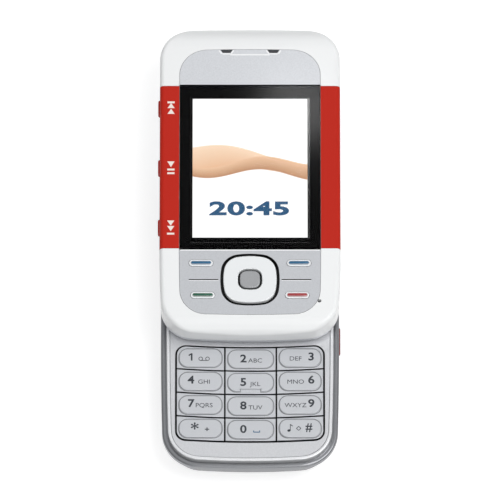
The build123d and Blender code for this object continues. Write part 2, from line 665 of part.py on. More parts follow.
def slide_rails():
    """Folded steel channel in the lower half, with the post that the slide spring turns on."""
    half, sheet = RAIL_WIDTH / 2, RAIL_SHEET
    low, high, lip = Z_RAIL + sheet / 2, Z_LIP - sheet / 2, half - RAIL_LIP
    wall = half - sheet / 2
    path = Polyline((-lip, high), (-wall, high), (-wall, low), (wall, low), (wall, high), (lip, high))
    rails = extrude(Plane.XZ * trace(path, line_width=sheet), amount=-RAIL_LENGTH)
    rails = Pos(0, RAIL_FOOT) * rails
    x, y = SPRING_PIVOT
    rails += rod(x, y, SPRING_WIRE, Z_RAIL + sheet, Z_RAIL + sheet + RAIL_GAP - FIT)
    for y in (RAIL_FOOT + RAIL_HOLE_IN, RAIL_HEAD - RAIL_HOLE_IN):
        rails -= Pos(0, y, Z_RAIL) * Box(*RAIL_HOLE, 4 * sheet)
    return rails


def slide_plate():
    """Folded steel runner under the slider: its flanges run in the rails, its studs go into the slider."""
    half = RAIL_WIDTH / 2 - RAIL_SHEET - FIT
    web = RAIL_WIDTH / 2 - RAIL_LIP - RUNNER_ROOM
    mid = Z_RAIL + RAIL_SHEET + RAIL_GAP / 2
    top = Z_SLIDER - RUNNER_SHEET / 2
    path = Polyline((-half, mid), (-web, mid), (-web, top), (web, top), (web, mid), (half, mid))
    plate = extrude(Plane.XZ * trace(path, line_width=RUNNER_SHEET), amount=-RUNNER_LENGTH)
    plate = Pos(0, RUNNER_FOOT) * plate
    for x, y in stud_places():
        plate += rod(x, y, STUD_RADIUS, Z_SLIDER - RUNNER_SHEET, Z_SLIDER + BACK_COVER_FLOOR - FIT)
    return plate


def stud_places():
    rows = (RUNNER_FOOT + STUD_IN, RUNNER_FOOT + RUNNER_LENGTH - STUD_IN)
    return [(x, y) for x in (-STUD_X, STUD_X) for y in rows]


def slide_spring():
    """Flat wire spring that helps the slide over its middle: an eye, two arms and a coil."""
    low = Z_RAIL + RAIL_SHEET + SPRING_LIFT
    x, y = SPRING_PIVOT
    end = Vector(0, RUNNER_FOOT + RUNNER_LENGTH / 2)
    start = Vector(x, y)
    middle = (start + end) / 2
    eye = Pos(x, y) * (Circle(3 * SPRING_WIRE) - Circle(SPRING_WIRE + SLACK))
    coil = Pos(middle.X, middle.Y) * (Circle(SPRING_COIL) - Circle(SPRING_COIL - SPRING_WIRE))
    wire = trace(Line(start, end), line_width=SPRING_WIRE)
    wire -= Pos(x, y) * Circle(2 * SPRING_WIRE)
    wire -= Pos(middle.X, middle.Y) * Circle(SPRING_COIL - SPRING_WIRE / 2)
    return prism(eye + coil + wire, low, low + SPRING_WIRE)


def side_key_slot(middle, length):
    inner = BASE_WIDTH / 2 - SIDE_KEY_DEPTH - KEY_TRAVEL - FIT
    reach = length / 2 + FIT
    height = (Z_SIDE_KEY - FIT, Z_SIDE_KEY + SIDE_KEY_HEIGHT + FIT)
    return block((inner, BASE_WIDTH), (middle - reach, middle + reach), height)


def wall_at(height):
    """From the middle to the lower half's side wall, which leans."""
    return BASE_WIDTH / 2 - BASE_LEAN * (1 - height / Z_SHOULDER)


def side_bar(middle, length, out):
    """A bar that follows the sloping wall and stands out of it."""
    inner = BASE_WIDTH / 2 - SIDE_KEY_DEPTH
    low, high = Z_SIDE_KEY, Z_SIDE_KEY + SIDE_KEY_HEIGHT
    corners = [(inner, low), (wall_at(low) + out, low), (wall_at(high) + out, high), (inner, high)]
    profile = Plane.XZ * make_face(Polyline(*corners, close=True))
    return Pos(0, middle) * extrude(profile, amount=length / 2, both=True)


def side_key(middle, length):
    key = side_bar(middle, length, SIDE_KEY_OUT)
    ends = key.edges().group_by(Axis.Y)
    inner = BASE_WIDTH / 2 - SIDE_KEY_DEPTH + KEY_EDGE
    return fillet([edge for edge in ends[0] + ends[-1] if edge.center().X > inner], KEY_EDGE)


def volume_key():
    """Rocker with a raised pad at each end and a low middle."""
    reach = (VOLUME_LENGTH - VOLUME_PAD) / 2
    foot_pad, head_pad = [side_key(VOLUME_MIDDLE + side * reach, VOLUME_PAD) for side in (-1, 1)]
    return foot_pad + side_bar(VOLUME_MIDDLE, 2 * reach, SIDE_KEY_LOW) + head_pad


def camera_key():
    return side_key(CAMERA_KEY_MIDDLE, CAMERA_KEY_LENGTH)


def power_key_slot():
    x, reach = POWER_KEY_X, POWER_KEY_LENGTH / 2 + FIT
    inner = BASE_TOP - PORT_FACE_LEAN - POWER_KEY_DEPTH - KEY_TRAVEL - FIT
    up = POWER_KEY_HEIGHT / 2 + FIT
    return block((x - reach, x + reach), (inner, BASE_LENGTH), (Z_PORT - up, Z_PORT + up))


def power_key():
    x, reach = POWER_KEY_X, POWER_KEY_LENGTH / 2
    inner = BASE_TOP - PORT_FACE_LEAN - POWER_KEY_DEPTH
    up = POWER_KEY_HEIGHT / 2
    key = block((x - reach, x + reach), (inner, BASE_LENGTH), (Z_PORT - up, Z_PORT + up))
    return key & base_hull(POWER_KEY_OUT)


def port_face():
    """Height of the end wall at the sockets, set back into it a little."""
    return BASE_TOP - PORT_FACE_LEAN - SOCKET_RECESS


def barrel(x, radius, length, grow=0.0):
    middle = port_face() - length / 2
    return Pos(x, middle, Z_PORT) * Rot(90, 0, 0) * Cylinder(radius + grow, length + 2 * grow)


def socket_pockets():
    """Recesses in the top end for the two round sockets and the flat one."""
    out = BASE_TOP - port_face()
    reach, up = USB_WIDTH / 2 + SLACK, USB_HEIGHT / 2 + SLACK
    along = (port_face() - USB_LENGTH - FIT, BASE_TOP)
    cut = block((USB_X - reach, USB_X + reach), along, (Z_PORT - up, Z_PORT + up))
    jack, charger = (JACK_X, JACK_RADIUS, JACK_LENGTH), (CHARGER_X, CHARGER_RADIUS, CHARGER_LENGTH)
    for x, radius, length in (jack, charger):
        cut += barrel(x, radius, length, SLACK)
        cut += Pos(x, port_face() + out / 2, Z_PORT) * Rot(90, 0, 0) * Cylinder(radius + SLACK, out + FIT)
    return cut


def headset_socket():
    body = barrel(JACK_X, JACK_RADIUS, JACK_LENGTH)
    depth = JACK_LENGTH - SOCKET_END
    return body - Pos(JACK_X, port_face() - depth / 2, Z_PORT) * Rot(90, 0, 0) * Cylinder(JACK_BORE, depth)


def charger_socket():
    depth = CHARGER_LENGTH - SOCKET_END
    body = barrel(CHARGER_X, CHARGER_RADIUS, CHARGER_LENGTH)
    bore = Pos(CHARGER_X, port_face() - depth / 2, Z_PORT) * Rot(90, 0, 0) * Cylinder(CHARGER_BORE, depth)
    pin = Pos(CHARGER_X, port_face() - (depth + PIN_SHORT) / 2, Z_PORT) * Rot(90, 0, 0)
    pin = pin * Cylinder(PIN_RADIUS, depth - PIN_SHORT)
    return body - bore + pin


def usb_socket():
    """Small five-pin data socket: a folded metal shell round a contact tongue."""
    middle = port_face() - USB_LENGTH / 2
    place = Pos(USB_X, middle, Z_PORT)
    shell = place * Box(USB_WIDTH, USB_LENGTH, USB_HEIGHT)
    shell = chamfer([e for e in shell.edges().filter_by(Axis.Y) if e.center().Z < Z_PORT], USB_CORNER)
    depth = USB_LENGTH - SOCKET_END
    mouth = Box(USB_WIDTH - 2 * USB_WALL, depth, USB_HEIGHT - 2 * USB_WALL)
    mouth = Pos(USB_X, port_face() - depth / 2, Z_PORT) * mouth
    mouth = chamfer([e for e in mouth.edges().filter_by(Axis.Y) if e.center().Z < Z_PORT], USB_CORNER - FIT)
    tongue = Box(TONGUE_WIDTH, depth - PIN_SHORT, TONGUE_THICKNESS)
    return shell - mouth + Pos(USB_X, port_face() - (depth + PIN_SHORT) / 2, Z_PORT + TONGUE_UP) * tongue


def camera_window():
    disc = rod(0, CAMERA_Y, CAMERA_RADIUS, LENS_RECESS, LENS_RECESS + GLASS_THICKNESS)
    return chamfer(disc.faces().sort_by(Axis.Z)[0].edges(), LENS_EDGE)


def camera_module():
    low = LENS_RECESS + GLASS_THICKNESS + SLACK
    foot, top, half = COVER_THICKNESS + CAMERA_STEP, Z_BOARD - CAMERA_STEP, CAMERA_BODY / 2
    module = rod(0, CAMERA_Y, CAMERA_RADIUS - 2 * FIT, low, foot + CAMERA_STEP)
    module += block((-half, half), (CAMERA_Y - half, CAMERA_Y + half), (foot, top))
    return module - rod(0, CAMERA_Y, APERTURE, low, low + APERTURE_DEPTH)


def speaker_grille():
    """Moulded grille with rows of holes."""
    plate = Rectangle(GRILLE_WIDTH, GRILLE_LENGTH)
    plate -= [place * Circle(GRILLE_HOLE) for place in GridLocations(*GRILLE_PITCH, *GRILLE_COUNT)]
    return prism(Pos(SPEAKER_X, SPEAKER_Y) * plate, GRILLE_RECESS, GRILLE_RECESS + GRILLE_THICKNESS)


def loudspeaker():
    can = RectangleRounded(SPEAKER_WIDTH, SPEAKER_LENGTH, SPEAKER_CORNER)
    can = prism(can, Z_HEAD_FLOOR, Z_HEAD_FLOOR + SPEAKER_HEIGHT)
    cone = RectangleRounded(CONE_WIDTH, CONE_LENGTH, CONE_LENGTH / 3)
    cone = prism(cone, GRILLE_RECESS + GRILLE_THICKNESS + SLACK, Z_HEAD_FLOOR)
    return Pos(SPEAKER_X, SPEAKER_Y) * (can + cone)


def screws(places, low, shank_top):
    screw = rod(0, 0, SCREW_HEAD, low, low + SCREW_HEAD_HEIGHT) + rod(0, 0, SCREW_SHANK, low, shank_top)
    screw -= Pos(0, 0, low) * Box(CROSS_LENGTH, CROSS_WIDTH, 2 * CROSS_DEPTH)
    screw -= Pos(0, 0, low) * Box(CROSS_WIDTH, CROSS_LENGTH, 2 * CROSS_DEPTH)
    return Compound(children=[Pos(x, y) * screw for x, y in places])


# ---- slider ----
def slider_front_cover(form):
    cover = form & slab(Z_SPLIT, BEYOND)
    cover -= prism(face_plan(INLAY_GAP), Z_INLAY, Z_FRONT)
    cover -= prism(face_plan(CAVITY_MARGIN), Z_SPLIT, Z_DECK)
    wall = 2 * (GASKET_WALL + GASKET_ROOM)
    seat = Rectangle(GASKET_INNER[0] + wall, GASKET_INNER[1] + wall)
    cover -= prism(Pos(0, WINDOW_MIDDLE) * seat, Z_DECK, Z_INLAY)
    keys = face_plan(-FACE_LEDGE) & below(WINDOW_FOOT - FACE_LEDGE)
    cover -= prism(keys, Z_DECK, Z_INLAY)
    ear = Pos(0, FACE_TOP - MESH_DOWN)
    seat = ear * Rectangle(MESH_WIDTH + 2 * FIT, MESH_LENGTH + 2 * FIT)
    cover -= prism(seat, Z_INLAY - MESH_SEAT - SLACK, Z_INLAY)
    cover -= prism(ear * Rectangle(SOUND_WIDTH, SOUND_LENGTH), Z_DECK, Z_INLAY)
    for side in (-1, 1):
        cover -= strip_space(side, INLAY_GAP)
    cover -= music_slots()
    x, y = mic_place()
    cover -= rod(x, y, MIC_HOLE, Z_DECK, BEYOND)
    for x, y in SLIDER_SCREWS:
        cover -= rod(x, y, SCREW_SHANK + SLACK, Z_SPLIT, Z_SPLIT + SCREW_BITE + 2 * FIT)
    return cover


def strip_space(side, grow=0.0):
    """Room of a side strip: a skin over the side wall and the edge of the front."""
    reach = STRIP_LENGTH / 2 + grow
    inner, wall = FACE_WIDTH / 2 + INLAY_GAP, SLIDER_WIDTH / 2 - STRIP_SKIN
    low, skin = Z_FRONT - STRIP_DROP - grow, Z_FRONT - STRIP_SKIN
    y = (WINDOW_MIDDLE - reach, WINDOW_MIDDLE + reach)
    room = block((inner, SLIDER_WIDTH), y, (low, BEYOND))
    room -= block((0, wall - grow), (-BEYOND, BEYOND), (0, skin - grow))
    return room if side > 0 else mirror(room, Plane.YZ)


def side_strip(form, side):
    strip = form & strip_space(side)
    return strip - music_slots() if side < 0 else strip


def music_places():
    return [MUSIC_Y + MUSIC_PITCH * step for step in (1, 0, -1)]


def music_slots():
    reach = MUSIC_KEY_LENGTH / 2 + FIT
    height = (Z_MUSIC - FIT, Z_MUSIC + MUSIC_KEY_HEIGHT + FIT)
    depth = SLIDER_WIDTH / 2 - CAVITY_MARGIN - FACE_WIDTH / 2
    across = (-SLIDER_WIDTH, -SLIDER_WIDTH / 2 + depth + FIT)
    slots = [block(across, (y - reach, y + reach), height) for y in music_places()]
    return slots[0] + slots[1] + slots[2]


def music_key(y):
    reach = MUSIC_KEY_LENGTH / 2
    outer = SLIDER_WIDTH / 2 + MUSIC_KEY_OUT
    inner = FACE_WIDTH / 2 + CAVITY_MARGIN + BUTTON_TRAVEL + 3 * FIT
    key = block((-outer, -inner), (y - reach, y + reach), (Z_MUSIC, Z_MUSIC + MUSIC_KEY_HEIGHT))
    return fillet(key.faces().sort_by(Axis.X)[0].edges(), KEY_EDGE)


def mic_place():
    """Middle of the microphone's hole, on the line between the function plate and the cover."""
    return FACE_WIDTH / 2 - FACE_WAIST + SLACK, NAV_Y - MIC_DOWN


def mic_middle():
    """Middle of the microphone itself, with its edge under the hole."""
    x, y = mic_place()
    return x + MIC_SHIFT[0], y + MIC_SHIFT[1]


def slider_back_cover(form):
    cover = form & slab(0, Z_SPLIT)
    cover -= prism(face_plan(CAVITY_MARGIN), Z_SLIDER + BACK_COVER_FLOOR, Z_SPLIT)
    for x, y in stud_places():
        cover -= rod(x, y, STUD_RADIUS + SLACK, Z_SLIDER, Z_SPLIT)
    for x, y in SLIDER_SCREWS:
        cover -= rod(x, y, SCREW_HEAD + FIT, 0, Z_SCREW + SCREW_HEAD_HEIGHT)
        cover -= rod(x, y, SCREW_SHANK + FIT, 0, Z_SPLIT)
    return cover


def slider_board():
    plan = face_plan(CAVITY_MARGIN - 2 * FIT)
    board = prism(plan, Z_SLIDER_BOARD, Z_SLIDER_BOARD + BOARD_THICKNESS)
    place = Pos(0, FACE_FOOT + CONNECTOR_UP, Z_SLIDER_BOARD + BOARD_THICKNESS + CONNECTOR[2] / 2)
    return board + place * Box(*CONNECTOR)


def display_outer():
    return DISPLAY_WIDTH + 2 * GLASS_MARGIN, DISPLAY_LENGTH + 2 * GLASS_MARGIN


def display_frame():
    width, length = display_outer()
    outer = RectangleRounded(width + 2 * FRAME_WALL, length + 2 * FRAME_WALL, FRAME_CORNER)
    ring = outer - Rectangle(width + 2 * SLACK, length + 2 * SLACK)
    low = Z_DECK - FRAME_HEIGHT
    floor = outer - Rectangle(width - 2 * FRAME_LIP, length - 2 * FRAME_LIP)
    return Pos(0, WINDOW_MIDDLE) * (prism(ring, low, Z_DECK) + prism(floor, low, low + FRAME_FLOOR))


def display_panel():
    width, length = display_outer()
    glass = prism(Rectangle(width, length), Z_DECK - FRAME_HEIGHT + FRAME_FLOOR, Z_DECK)
    return Pos(0, WINDOW_MIDDLE) * glass


def display_gasket():
    width, length = GASKET_INNER
    ring = Rectangle(width + 2 * GASKET_WALL, length + 2 * GASKET_WALL) - Rectangle(width, length)
    return Pos(0, WINDOW_MIDDLE) * prism(ring, Z_DECK, Z_INLAY)


def display_window():
    length = WINDOW_LENGTH - 2 * INLAY_GAP
    plan = Rectangle(FACE_WIDTH, length)
    window = prism(Pos(0, WINDOW_MIDDLE) * plan, Z_INLAY, Z_FRONT)
    return chamfer(top_edges(window), WINDOW_EDGE)


def earpiece_panel():
    panel = prism(face_plan() & above(WINDOW_TOP + INLAY_GAP), Z_INLAY, Z_FRONT)
    half, foot, depth = OPENING_WIDTH / 2, OPENING_FOOT / 2, OPENING_DEPTH
    corners = [(half, depth), (half, 0), (foot, -depth), (-foot, -depth), (-half, 0), (-half, depth)]
    hole = make_face(Polyline(*corners, close=True))
    for x in (-OPENING_X, OPENING_X):
        panel -= prism(Pos(x, FACE_TOP - OPENING_DROP) * hole, Z_INLAY, Z_FRONT)
    groove = Pos(0, FACE_TOP - GROOVE_DOWN) * Rectangle(2 * (OPENING_X - foot), LINE_WIDTH)
    return panel - prism(groove, Z_FRONT - LINE_DEPTH, Z_FRONT)


def earpiece_mesh():
    low = Z_INLAY - MESH_SEAT
    return prism(Pos(0, FACE_TOP - MESH_DOWN) * Rectangle(MESH_WIDTH, MESH_LENGTH), low, low + MESH_THICKNESS)


def earpiece_speaker():
    plan = Pos(0, FACE_TOP - EAR_SPEAKER_DOWN) * RectangleRounded(*EAR_SPEAKER, EAR_SPEAKER_CORNER)
    return prism(plan, Z_DECK - EAR_SPEAKER_HEIGHT, Z_DECK)


def function_key_places():
    """Soft keys above, call and end keys below."""
    up, down = NAV_Y + SOFT_KEY_UP, NAV_Y - CALL_KEY_DOWN
    return {
        "left_selection_key": (-SOFT_KEY_X, up),
        "right_selection_key": (SOFT_KEY_X, up),
        "call_key": (-CALL_KEY_X, down),
        "end_key": (CALL_KEY_X, down),
    }


def nav_face(grow=0.0):
    width, length = NAV_WIDTH + 2 * grow, NAV_LENGTH + 2 * grow
    return Pos(0, NAV_Y) * pillow_face(width, length, NAV_BULGE, NAV_CORNER + grow)


def select_face(grow=0.0):
    width, length = SELECT_WIDTH + 2 * grow, SELECT_LENGTH + 2 * grow
    return Pos(0, NAV_Y) * pillow_face(width, length, SELECT_BULGE, SELECT_CORNER + grow)


def function_plate():
    plate = prism(face_plan() & below(WINDOW_FOOT - INLAY_GAP), Z_INLAY, Z_FRONT)
    plate -= prism(nav_face(NAV_GAP), Z_INLAY, Z_FRONT)
    for x, y in function_key_places().values():
        hole = SlotOverall(FUNCTION_KEY_LENGTH + 2 * FIT, FUNCTION_KEY_WIDTH + 2 * FIT)
        plate -= prism(Pos(x, y) * hole, Z_INLAY, Z_FRONT)
    for side in (-1, 1):
        slit = Rectangle(SLIT_END - SLIT_START, SLIT_WIDTH)
        plate -= prism(Pos(side * (SLIT_START + SLIT_END) / 2, NAV_Y) * slit, Z_FRONT - LINE_DEPTH, Z_FRONT)
    x, y = mic_place()
    return plate - rod(x, y, MIC_HOLE, Z_INLAY, Z_FRONT)


def function_key(place):
    x, y = place
    top = Z_FRONT + FUNCTION_KEY_RISE
    key = prism(SlotOverall(FUNCTION_KEY_LENGTH, FUNCTION_KEY_WIDTH), Z_STEM, top)
    key = fillet(top_edges(key), FUNCTION_KEY_EDGE)
    flange = SlotOverall(FUNCTION_KEY_LENGTH + 2 * FUNCTION_FLANGE, FUNCTION_KEY_WIDTH + 2 * FUNCTION_FLANGE)
    key += prism(flange, Z_STEM, Z_INLAY - FIT)
    key -= prism(SlotOverall(FUNCTION_KEY_LENGTH - 2 * BAR_MARGIN, BAR_WIDTH), top - BAR_DEPTH, top)
    return Pos(x, y) * key


def navigation_key():
    top = Z_FRONT + NAV_RISE
    ring = prism(nav_face() - select_face(SELECT_GAP), top - NAV_THICKNESS, top)
    return fillet(top_edges(ring), NAV_EDGE)


def navigation_pad():
    """Rubber pad that the navigation key rocks on."""
    top = Z_FRONT + NAV_RISE - NAV_THICKNESS - NAV_ROCK
    return prism(nav_face(-NAV_PAD_INSET) - select_face(SELECT_GAP + SLACK), Z_STEM, top)


def select_key():
    key = prism(select_face(), Z_STEM, Z_FRONT + SELECT_RISE)
    return fillet(top_edges(key), NAV_EDGE)


def function_board():
    """Board of the function keys, glued under the deck, with a metal dome for each key."""
    plan = face_plan(BOARD_LAP) & below(WINDOW_FOOT)
    x, y = mic_middle()
    board = prism(plan - Pos(x, y) * Circle(MIC_RADIUS + FIT), Z_FUNCTION_BOARD, Z_DECK)
    out = NAV_DOME_OUT
    tilts = [(x, NAV_Y + y) for x, y in ((0, 0), (-out, 0), (out, 0), (0, -out), (0, out))]
    for x, y in [*function_key_places().values(), *tilts]:
        board += rod(x, y, SMALL_DOME, Z_DECK, Z_DECK + DOME_HEIGHT)
    return board


def microphone():
    x, y = mic_middle()
    return rod(x, y, MIC_RADIUS, Z_DECK - MIC_HEIGHT, Z_DECK)


# ---- all the pieces ----
def make_nodes():
    form = slider_form()
    nodes = {
        "back_housing": back_housing(),
        "battery_cover": battery_cover(),
        "battery": battery(),
        "main_board": main_board(),
        "keypad_mat": keypad_mat(),
        "keypad_panel": keypad_panel(),
        "keypad_rim": keypad_rim(),
        "base_front_case": base_front_case(),
        "slide_rails": slide_rails(),
        "slide_spring": slide_spring(),
        "volume_key": volume_key(),
        "camera_key": camera_key(),
        "power_key": power_key(),
        "headset_socket": headset_socket(),
        "charger_socket": charger_socket(),
        "usb_socket": usb_socket(),
        "camera_window": camera_window(),
        "camera_module": camera_module(),
        "speaker_grille": speaker_grille(),
        "loudspeaker": loudspeaker(),
        "base_screws": screws(BASE_SCREWS, Z_BATTERY, Z_BAND - SCREW_SHORT),
        "slider_front_cover": slider_front_cover(form),
        "left_side_strip": side_strip(form, -1),
        "right_side_strip": side_strip(form, 1),
        "earpiece_panel": earpiece_panel(),
        "earpiece_mesh": earpiece_mesh(),
        "earpiece_speaker": earpiece_speaker(),
        "display_window": display_window(),
        "display_gasket": display_gasket(),
        "display_panel": display_panel(),
        "display_frame": display_frame(),
        "function_plate": function_plate(),
        "function_board": function_board(),
        "navigation_key": navigation_key(),
        "navigation_pad": navigation_pad(),
        "select_key": select_key(),
        "slider_board": slider_board(),
        "slider_back_cover": slider_back_cover(form),
        "slide_plate": slide_plate(),
        "slider_screws": screws(SLIDER_SCREWS, Z_SCREW, Z_SPLIT + SCREW_BITE),
        "microphone": microphone(),
    }
    for index, name in enumerate("1 2 3 4 5 6 7 8 9 star 0 hash".split()):
        nodes["key_" + name] = number_key(index)
    for name, place in function_key_places().items():
        nodes[name] = function_key(place)
    for name, y in zip(("rewind_key", "play_key", "forward_key"), music_places()):
        nodes[name] = music_key(y)
    return nodes


os.makedirs("parts", exist_ok=True)
for node, solid in make_nodes().items():
    export_step(solid, f"parts/{node}.step")
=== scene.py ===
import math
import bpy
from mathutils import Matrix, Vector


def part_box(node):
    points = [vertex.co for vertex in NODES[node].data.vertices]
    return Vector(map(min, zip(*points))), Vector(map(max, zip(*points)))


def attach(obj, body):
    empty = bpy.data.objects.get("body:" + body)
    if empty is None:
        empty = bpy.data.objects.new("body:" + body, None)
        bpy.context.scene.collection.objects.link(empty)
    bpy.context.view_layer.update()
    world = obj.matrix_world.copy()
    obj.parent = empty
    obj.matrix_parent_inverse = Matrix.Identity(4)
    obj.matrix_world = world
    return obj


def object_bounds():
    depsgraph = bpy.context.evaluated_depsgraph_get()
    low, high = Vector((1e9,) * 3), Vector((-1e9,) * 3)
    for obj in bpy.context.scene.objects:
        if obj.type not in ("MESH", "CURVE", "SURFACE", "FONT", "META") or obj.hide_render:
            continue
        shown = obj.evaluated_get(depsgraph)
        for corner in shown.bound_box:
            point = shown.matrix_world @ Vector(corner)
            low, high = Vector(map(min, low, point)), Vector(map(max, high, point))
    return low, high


bl_info = {
    "name": "Slide Phone",
    "version": (1, 0, 0),
    "blender": (4, 5, 0),
    "location": "View3D > Sidebar > Slide Phone",
    "description": "Finishes, printed legends and a studio for a slide phone built around its packed solids",
    "category": "Object",
}

import bmesh
import bpy
from bpy.props import FloatProperty, FloatVectorProperty, PointerProperty, StringProperty
from mathutils import Vector

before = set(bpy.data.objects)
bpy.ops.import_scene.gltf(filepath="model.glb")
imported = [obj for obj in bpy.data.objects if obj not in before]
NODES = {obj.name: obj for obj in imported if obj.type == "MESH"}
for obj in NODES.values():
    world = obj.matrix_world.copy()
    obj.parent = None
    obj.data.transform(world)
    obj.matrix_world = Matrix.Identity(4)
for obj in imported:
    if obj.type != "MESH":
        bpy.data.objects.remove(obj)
CAD_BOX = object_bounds()

MM = 0.001
DIGITS = ("1", "2", "3", "4", "5", "6", "7", "8", "9", "star", "0", "hash")
FUNCTION_KEYS = ("left_selection_key", "right_selection_key", "call_key", "end_key")
MUSIC_KEYS = ("rewind_key", "play_key", "forward_key")
PANEL_LOW, PANEL_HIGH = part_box("display_panel")
WINDOW_LOW, WINDOW_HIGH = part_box("display_window")
STRIP_LOW, STRIP_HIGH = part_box("left_side_strip")


def above(node):
    """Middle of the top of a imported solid."""
    low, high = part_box(node)
    return Vector(((low.x + high.x) / 2, (low.y + high.y) / 2, high.z))


def linear(code):
    """A linear colour from an sRGB hex code."""
    parts = [int(code[i : i + 2], 16) / 255 for i in (0, 2, 4)]
    return tuple(p / 12.92 if p <= 0.04045 else ((p + 0.055) / 1.055) ** 2.4 for p in parts)


# ---------------------------------------------------------------- settings
def colour(name, description, code):
    return FloatVectorProperty(
        name=name, description=description, default=linear(code), subtype="COLOR", min=0.0, max=1.0
    )


def millimetres(name, description, default):
    return FloatProperty(
        name=name, description=description, default=default * MM, unit="LENGTH", precision=5
    )


class PhoneColours(bpy.types.PropertyGroup):
    """Colours of the phone's finishes."""

    casing: colour("Casing", "Gloss white of the slider's casing", "F4F5F5")
    strip: colour("Strips", "Soft-touch red of the side strips and music keys", "C02617")
    # the side keys' red is the strips' red darkened: painted shade on the lower half's edge
    shaded_side_key: colour("Side keys", "Dark red of the keys on the lower half's edge", "7A1A16")
    silver: colour("Earpiece panel", "Metallic paint of the earpiece panel and the slider's back", "D9DBDF")
    plate: colour("Function plate", "Metallic paint round the function keys", "C8CACE")
    keypad: colour("Keypad panel", "Metallic paint round the number keys", "D2D3D6")
    rim: colour("Rim", "Bright rim round the keypad", "ECEDEF")
    band: colour("Band", "Metallic paint of the lower half's front case", "8E8F92")
    housing: colour("Housing", "Metallic paint of the lower half's back", "8B8C90")
    key: colour("Number keys", "Pearl paint of the number keys", "CBCDD1")
    legend: colour("Legends", "Printed digits and letters", "31353C")
    cap: colour("Function keys", "Pale metallic paint of the function keys", "F0F2F4")
    navigation: colour("Navigation key", "Pale satin ring", "EEF0F1")
    select: colour("Select key", "Grey metallic centre key", "A7A8AA")
    selection_bar: colour("Selection bars", "Blue inlays of the selection keys, and the space mark", "1F5F85")
    call_bar: colour("Call bar", "Green inlay of the call key", "1C5A42")
    end_bar: colour("End bar", "Red inlay of the end key", "A23236")
    icon: colour("Music icons", "Cream print on the left strip", "F6E9E0")
    clock: colour("Clock", "Blue digits on the screen", "104E78")


class PhoneSizes(bpy.types.PropertyGroup):
    """Sizes of the printed and lit parts."""

    print_height: millimetres("Print", "Thickness of printed ink", 0.02)
    digit: millimetres("Digit", "Height of a digit on a number key", 2.25)
    letters: millimetres("Letters", "Height of the letters on a number key", 1.25)
    icon_width: millimetres("Icon", "Width of a music icon", 1.93)
    picture_width: millimetres("Picture width", "Width of the lit picture", 30.5)
    picture_length: millimetres("Picture length", "Length of the lit picture", 40.8)
    clock_digit: millimetres("Clock digit", "Height of the clock's digits on the screen", 3.9)
    clock_text: StringProperty(name="Clock", description="Time on the screen", default="20:45")


def colours():
    return bpy.context.scene.phone_colours


def sizes():
    return bpy.context.scene.phone_sizes


# ---------------------------------------------------------------- materials
MIX_SHARE, MIX_A, MIX_B, MIX_RESULT = 0, 6, 7, 2  # sockets of a Mix node that mixes colours

# sizes of the patterns, in millimetres
SMEARS = 9.0  # marks that handling leaves on gloss
CLOUDS = 6.0  # slow changes of a lacquer's gloss
WIPES = 14.0  # marks that wiping leaves on glass
PEARL = 0.3  # specks in the number keys' paint, drawn coarse enough to show
FLAKE = 0.22  # flakes in the silver lacquers
ROLLING = 0.25  # pitch of the lines in rolled sheet
ROLLING_RATIO = 0.02  # how slowly those lines change along the phone, over how fast across it
TRACKS = 2.4  # length of a copper track's step

GRAIN_RELIEF, FINE_RELIEF = 0.02 * MM, 0.01 * MM  # of a moulding's texture, and of flakes and rolling lines
SPARKLE = {"To Min": 0.93, "To Max": 1.05}  # range of the flakes' brightness
PEARL_SHADE, HOLE_SHADE = 0.94, 0.25  # of a darker speck and of a hole in the mesh, over the paint or wire

# painted shade down the sides of mouldings, in their seams and moats: where it starts and where it is full
# black, in millimetres below the front
PAINT_EDGE, PANEL_SHADE_DEPTH, KEY_SHADE_DEPTH = 0.02, 0.12, 0.15


def add_node(tree, kind, settings=None, links=None):
    """Adds a node with its settings, by property or socket, and links its sockets to other nodes' outputs."""
    node = tree.nodes.new(kind)
    for key, value in (settings or {}).items():
        if isinstance(key, int) or key in node.inputs:
            node.inputs[key].default_value = value
        else:
            setattr(node, key, value)
    for key, output in (links or {}).items():
        tree.links.new(output, node.inputs[key])
    return node


def start_material(name):
    """An empty material with its output node, and the pattern's place on the piece in millimetres."""
    material = bpy.data.materials.new(name)
    material.use_nodes = True
    tree = material.node_tree
    tree.nodes.clear()
    output = add_node(tree, "ShaderNodeOutputMaterial")
    place = add_node(tree, "ShaderNodeTexCoord")
    in_mm = add_node(
        tree, "ShaderNodeVectorMath", {"operation": "SCALE", "Scale": 1000.0}, {0: place.outputs["Object"]}
    )
    return material, tree, output, in_mm.outputs["Vector"]


def plain_colour(rgb):
    return (*rgb, 1.0)


def uneven(roughness, share):
    """Range of a gloss that varies by a share either way."""
    return {"To Min": roughness * (1 - share), "To Max": roughness * (1 + share)}


def moulded(name, rgb, roughness, grain, depth, coat=0.0, specular=0.5):
    """Moulded plastic, ink or soft paint: gloss that varies a little with handling, over a fine texture.

    The texture's grain is in millimetres, and its depth is a share of GRAIN_RELIEF.
    """
    material, tree, output, place = start_material(name)
    texture = add_node(tree, "ShaderNodeTexNoise", {"Scale": 1 / grain, "Detail": 2.0}, {"Vector": place})
    relief = {"Strength": depth, "Distance": GRAIN_RELIEF}
    bump = add_node(tree, "ShaderNodeBump", relief, {"Height": texture.outputs["Fac"]})
    smears = add_node(tree, "ShaderNodeTexNoise", {"Scale": 1 / SMEARS, "Detail": 3.0}, {"Vector": place})
    gloss = add_node(tree, "ShaderNodeMapRange", uneven(roughness, 0.15), {"Value": smears.outputs["Fac"]})
    settings = {
        "Base Color": plain_colour(rgb),
        "Coat Weight": coat,
        "Coat Roughness": 0.06,
        "Specular IOR Level": specular,
    }
    links = {"Roughness": gloss.outputs["Result"], "Normal": bump.outputs["Normal"]}
    shader = add_node(tree, "ShaderNodeBsdfPrincipled", settings, links)
    tree.links.new(shader.outputs["BSDF"], output.inputs["Surface"])
    return material


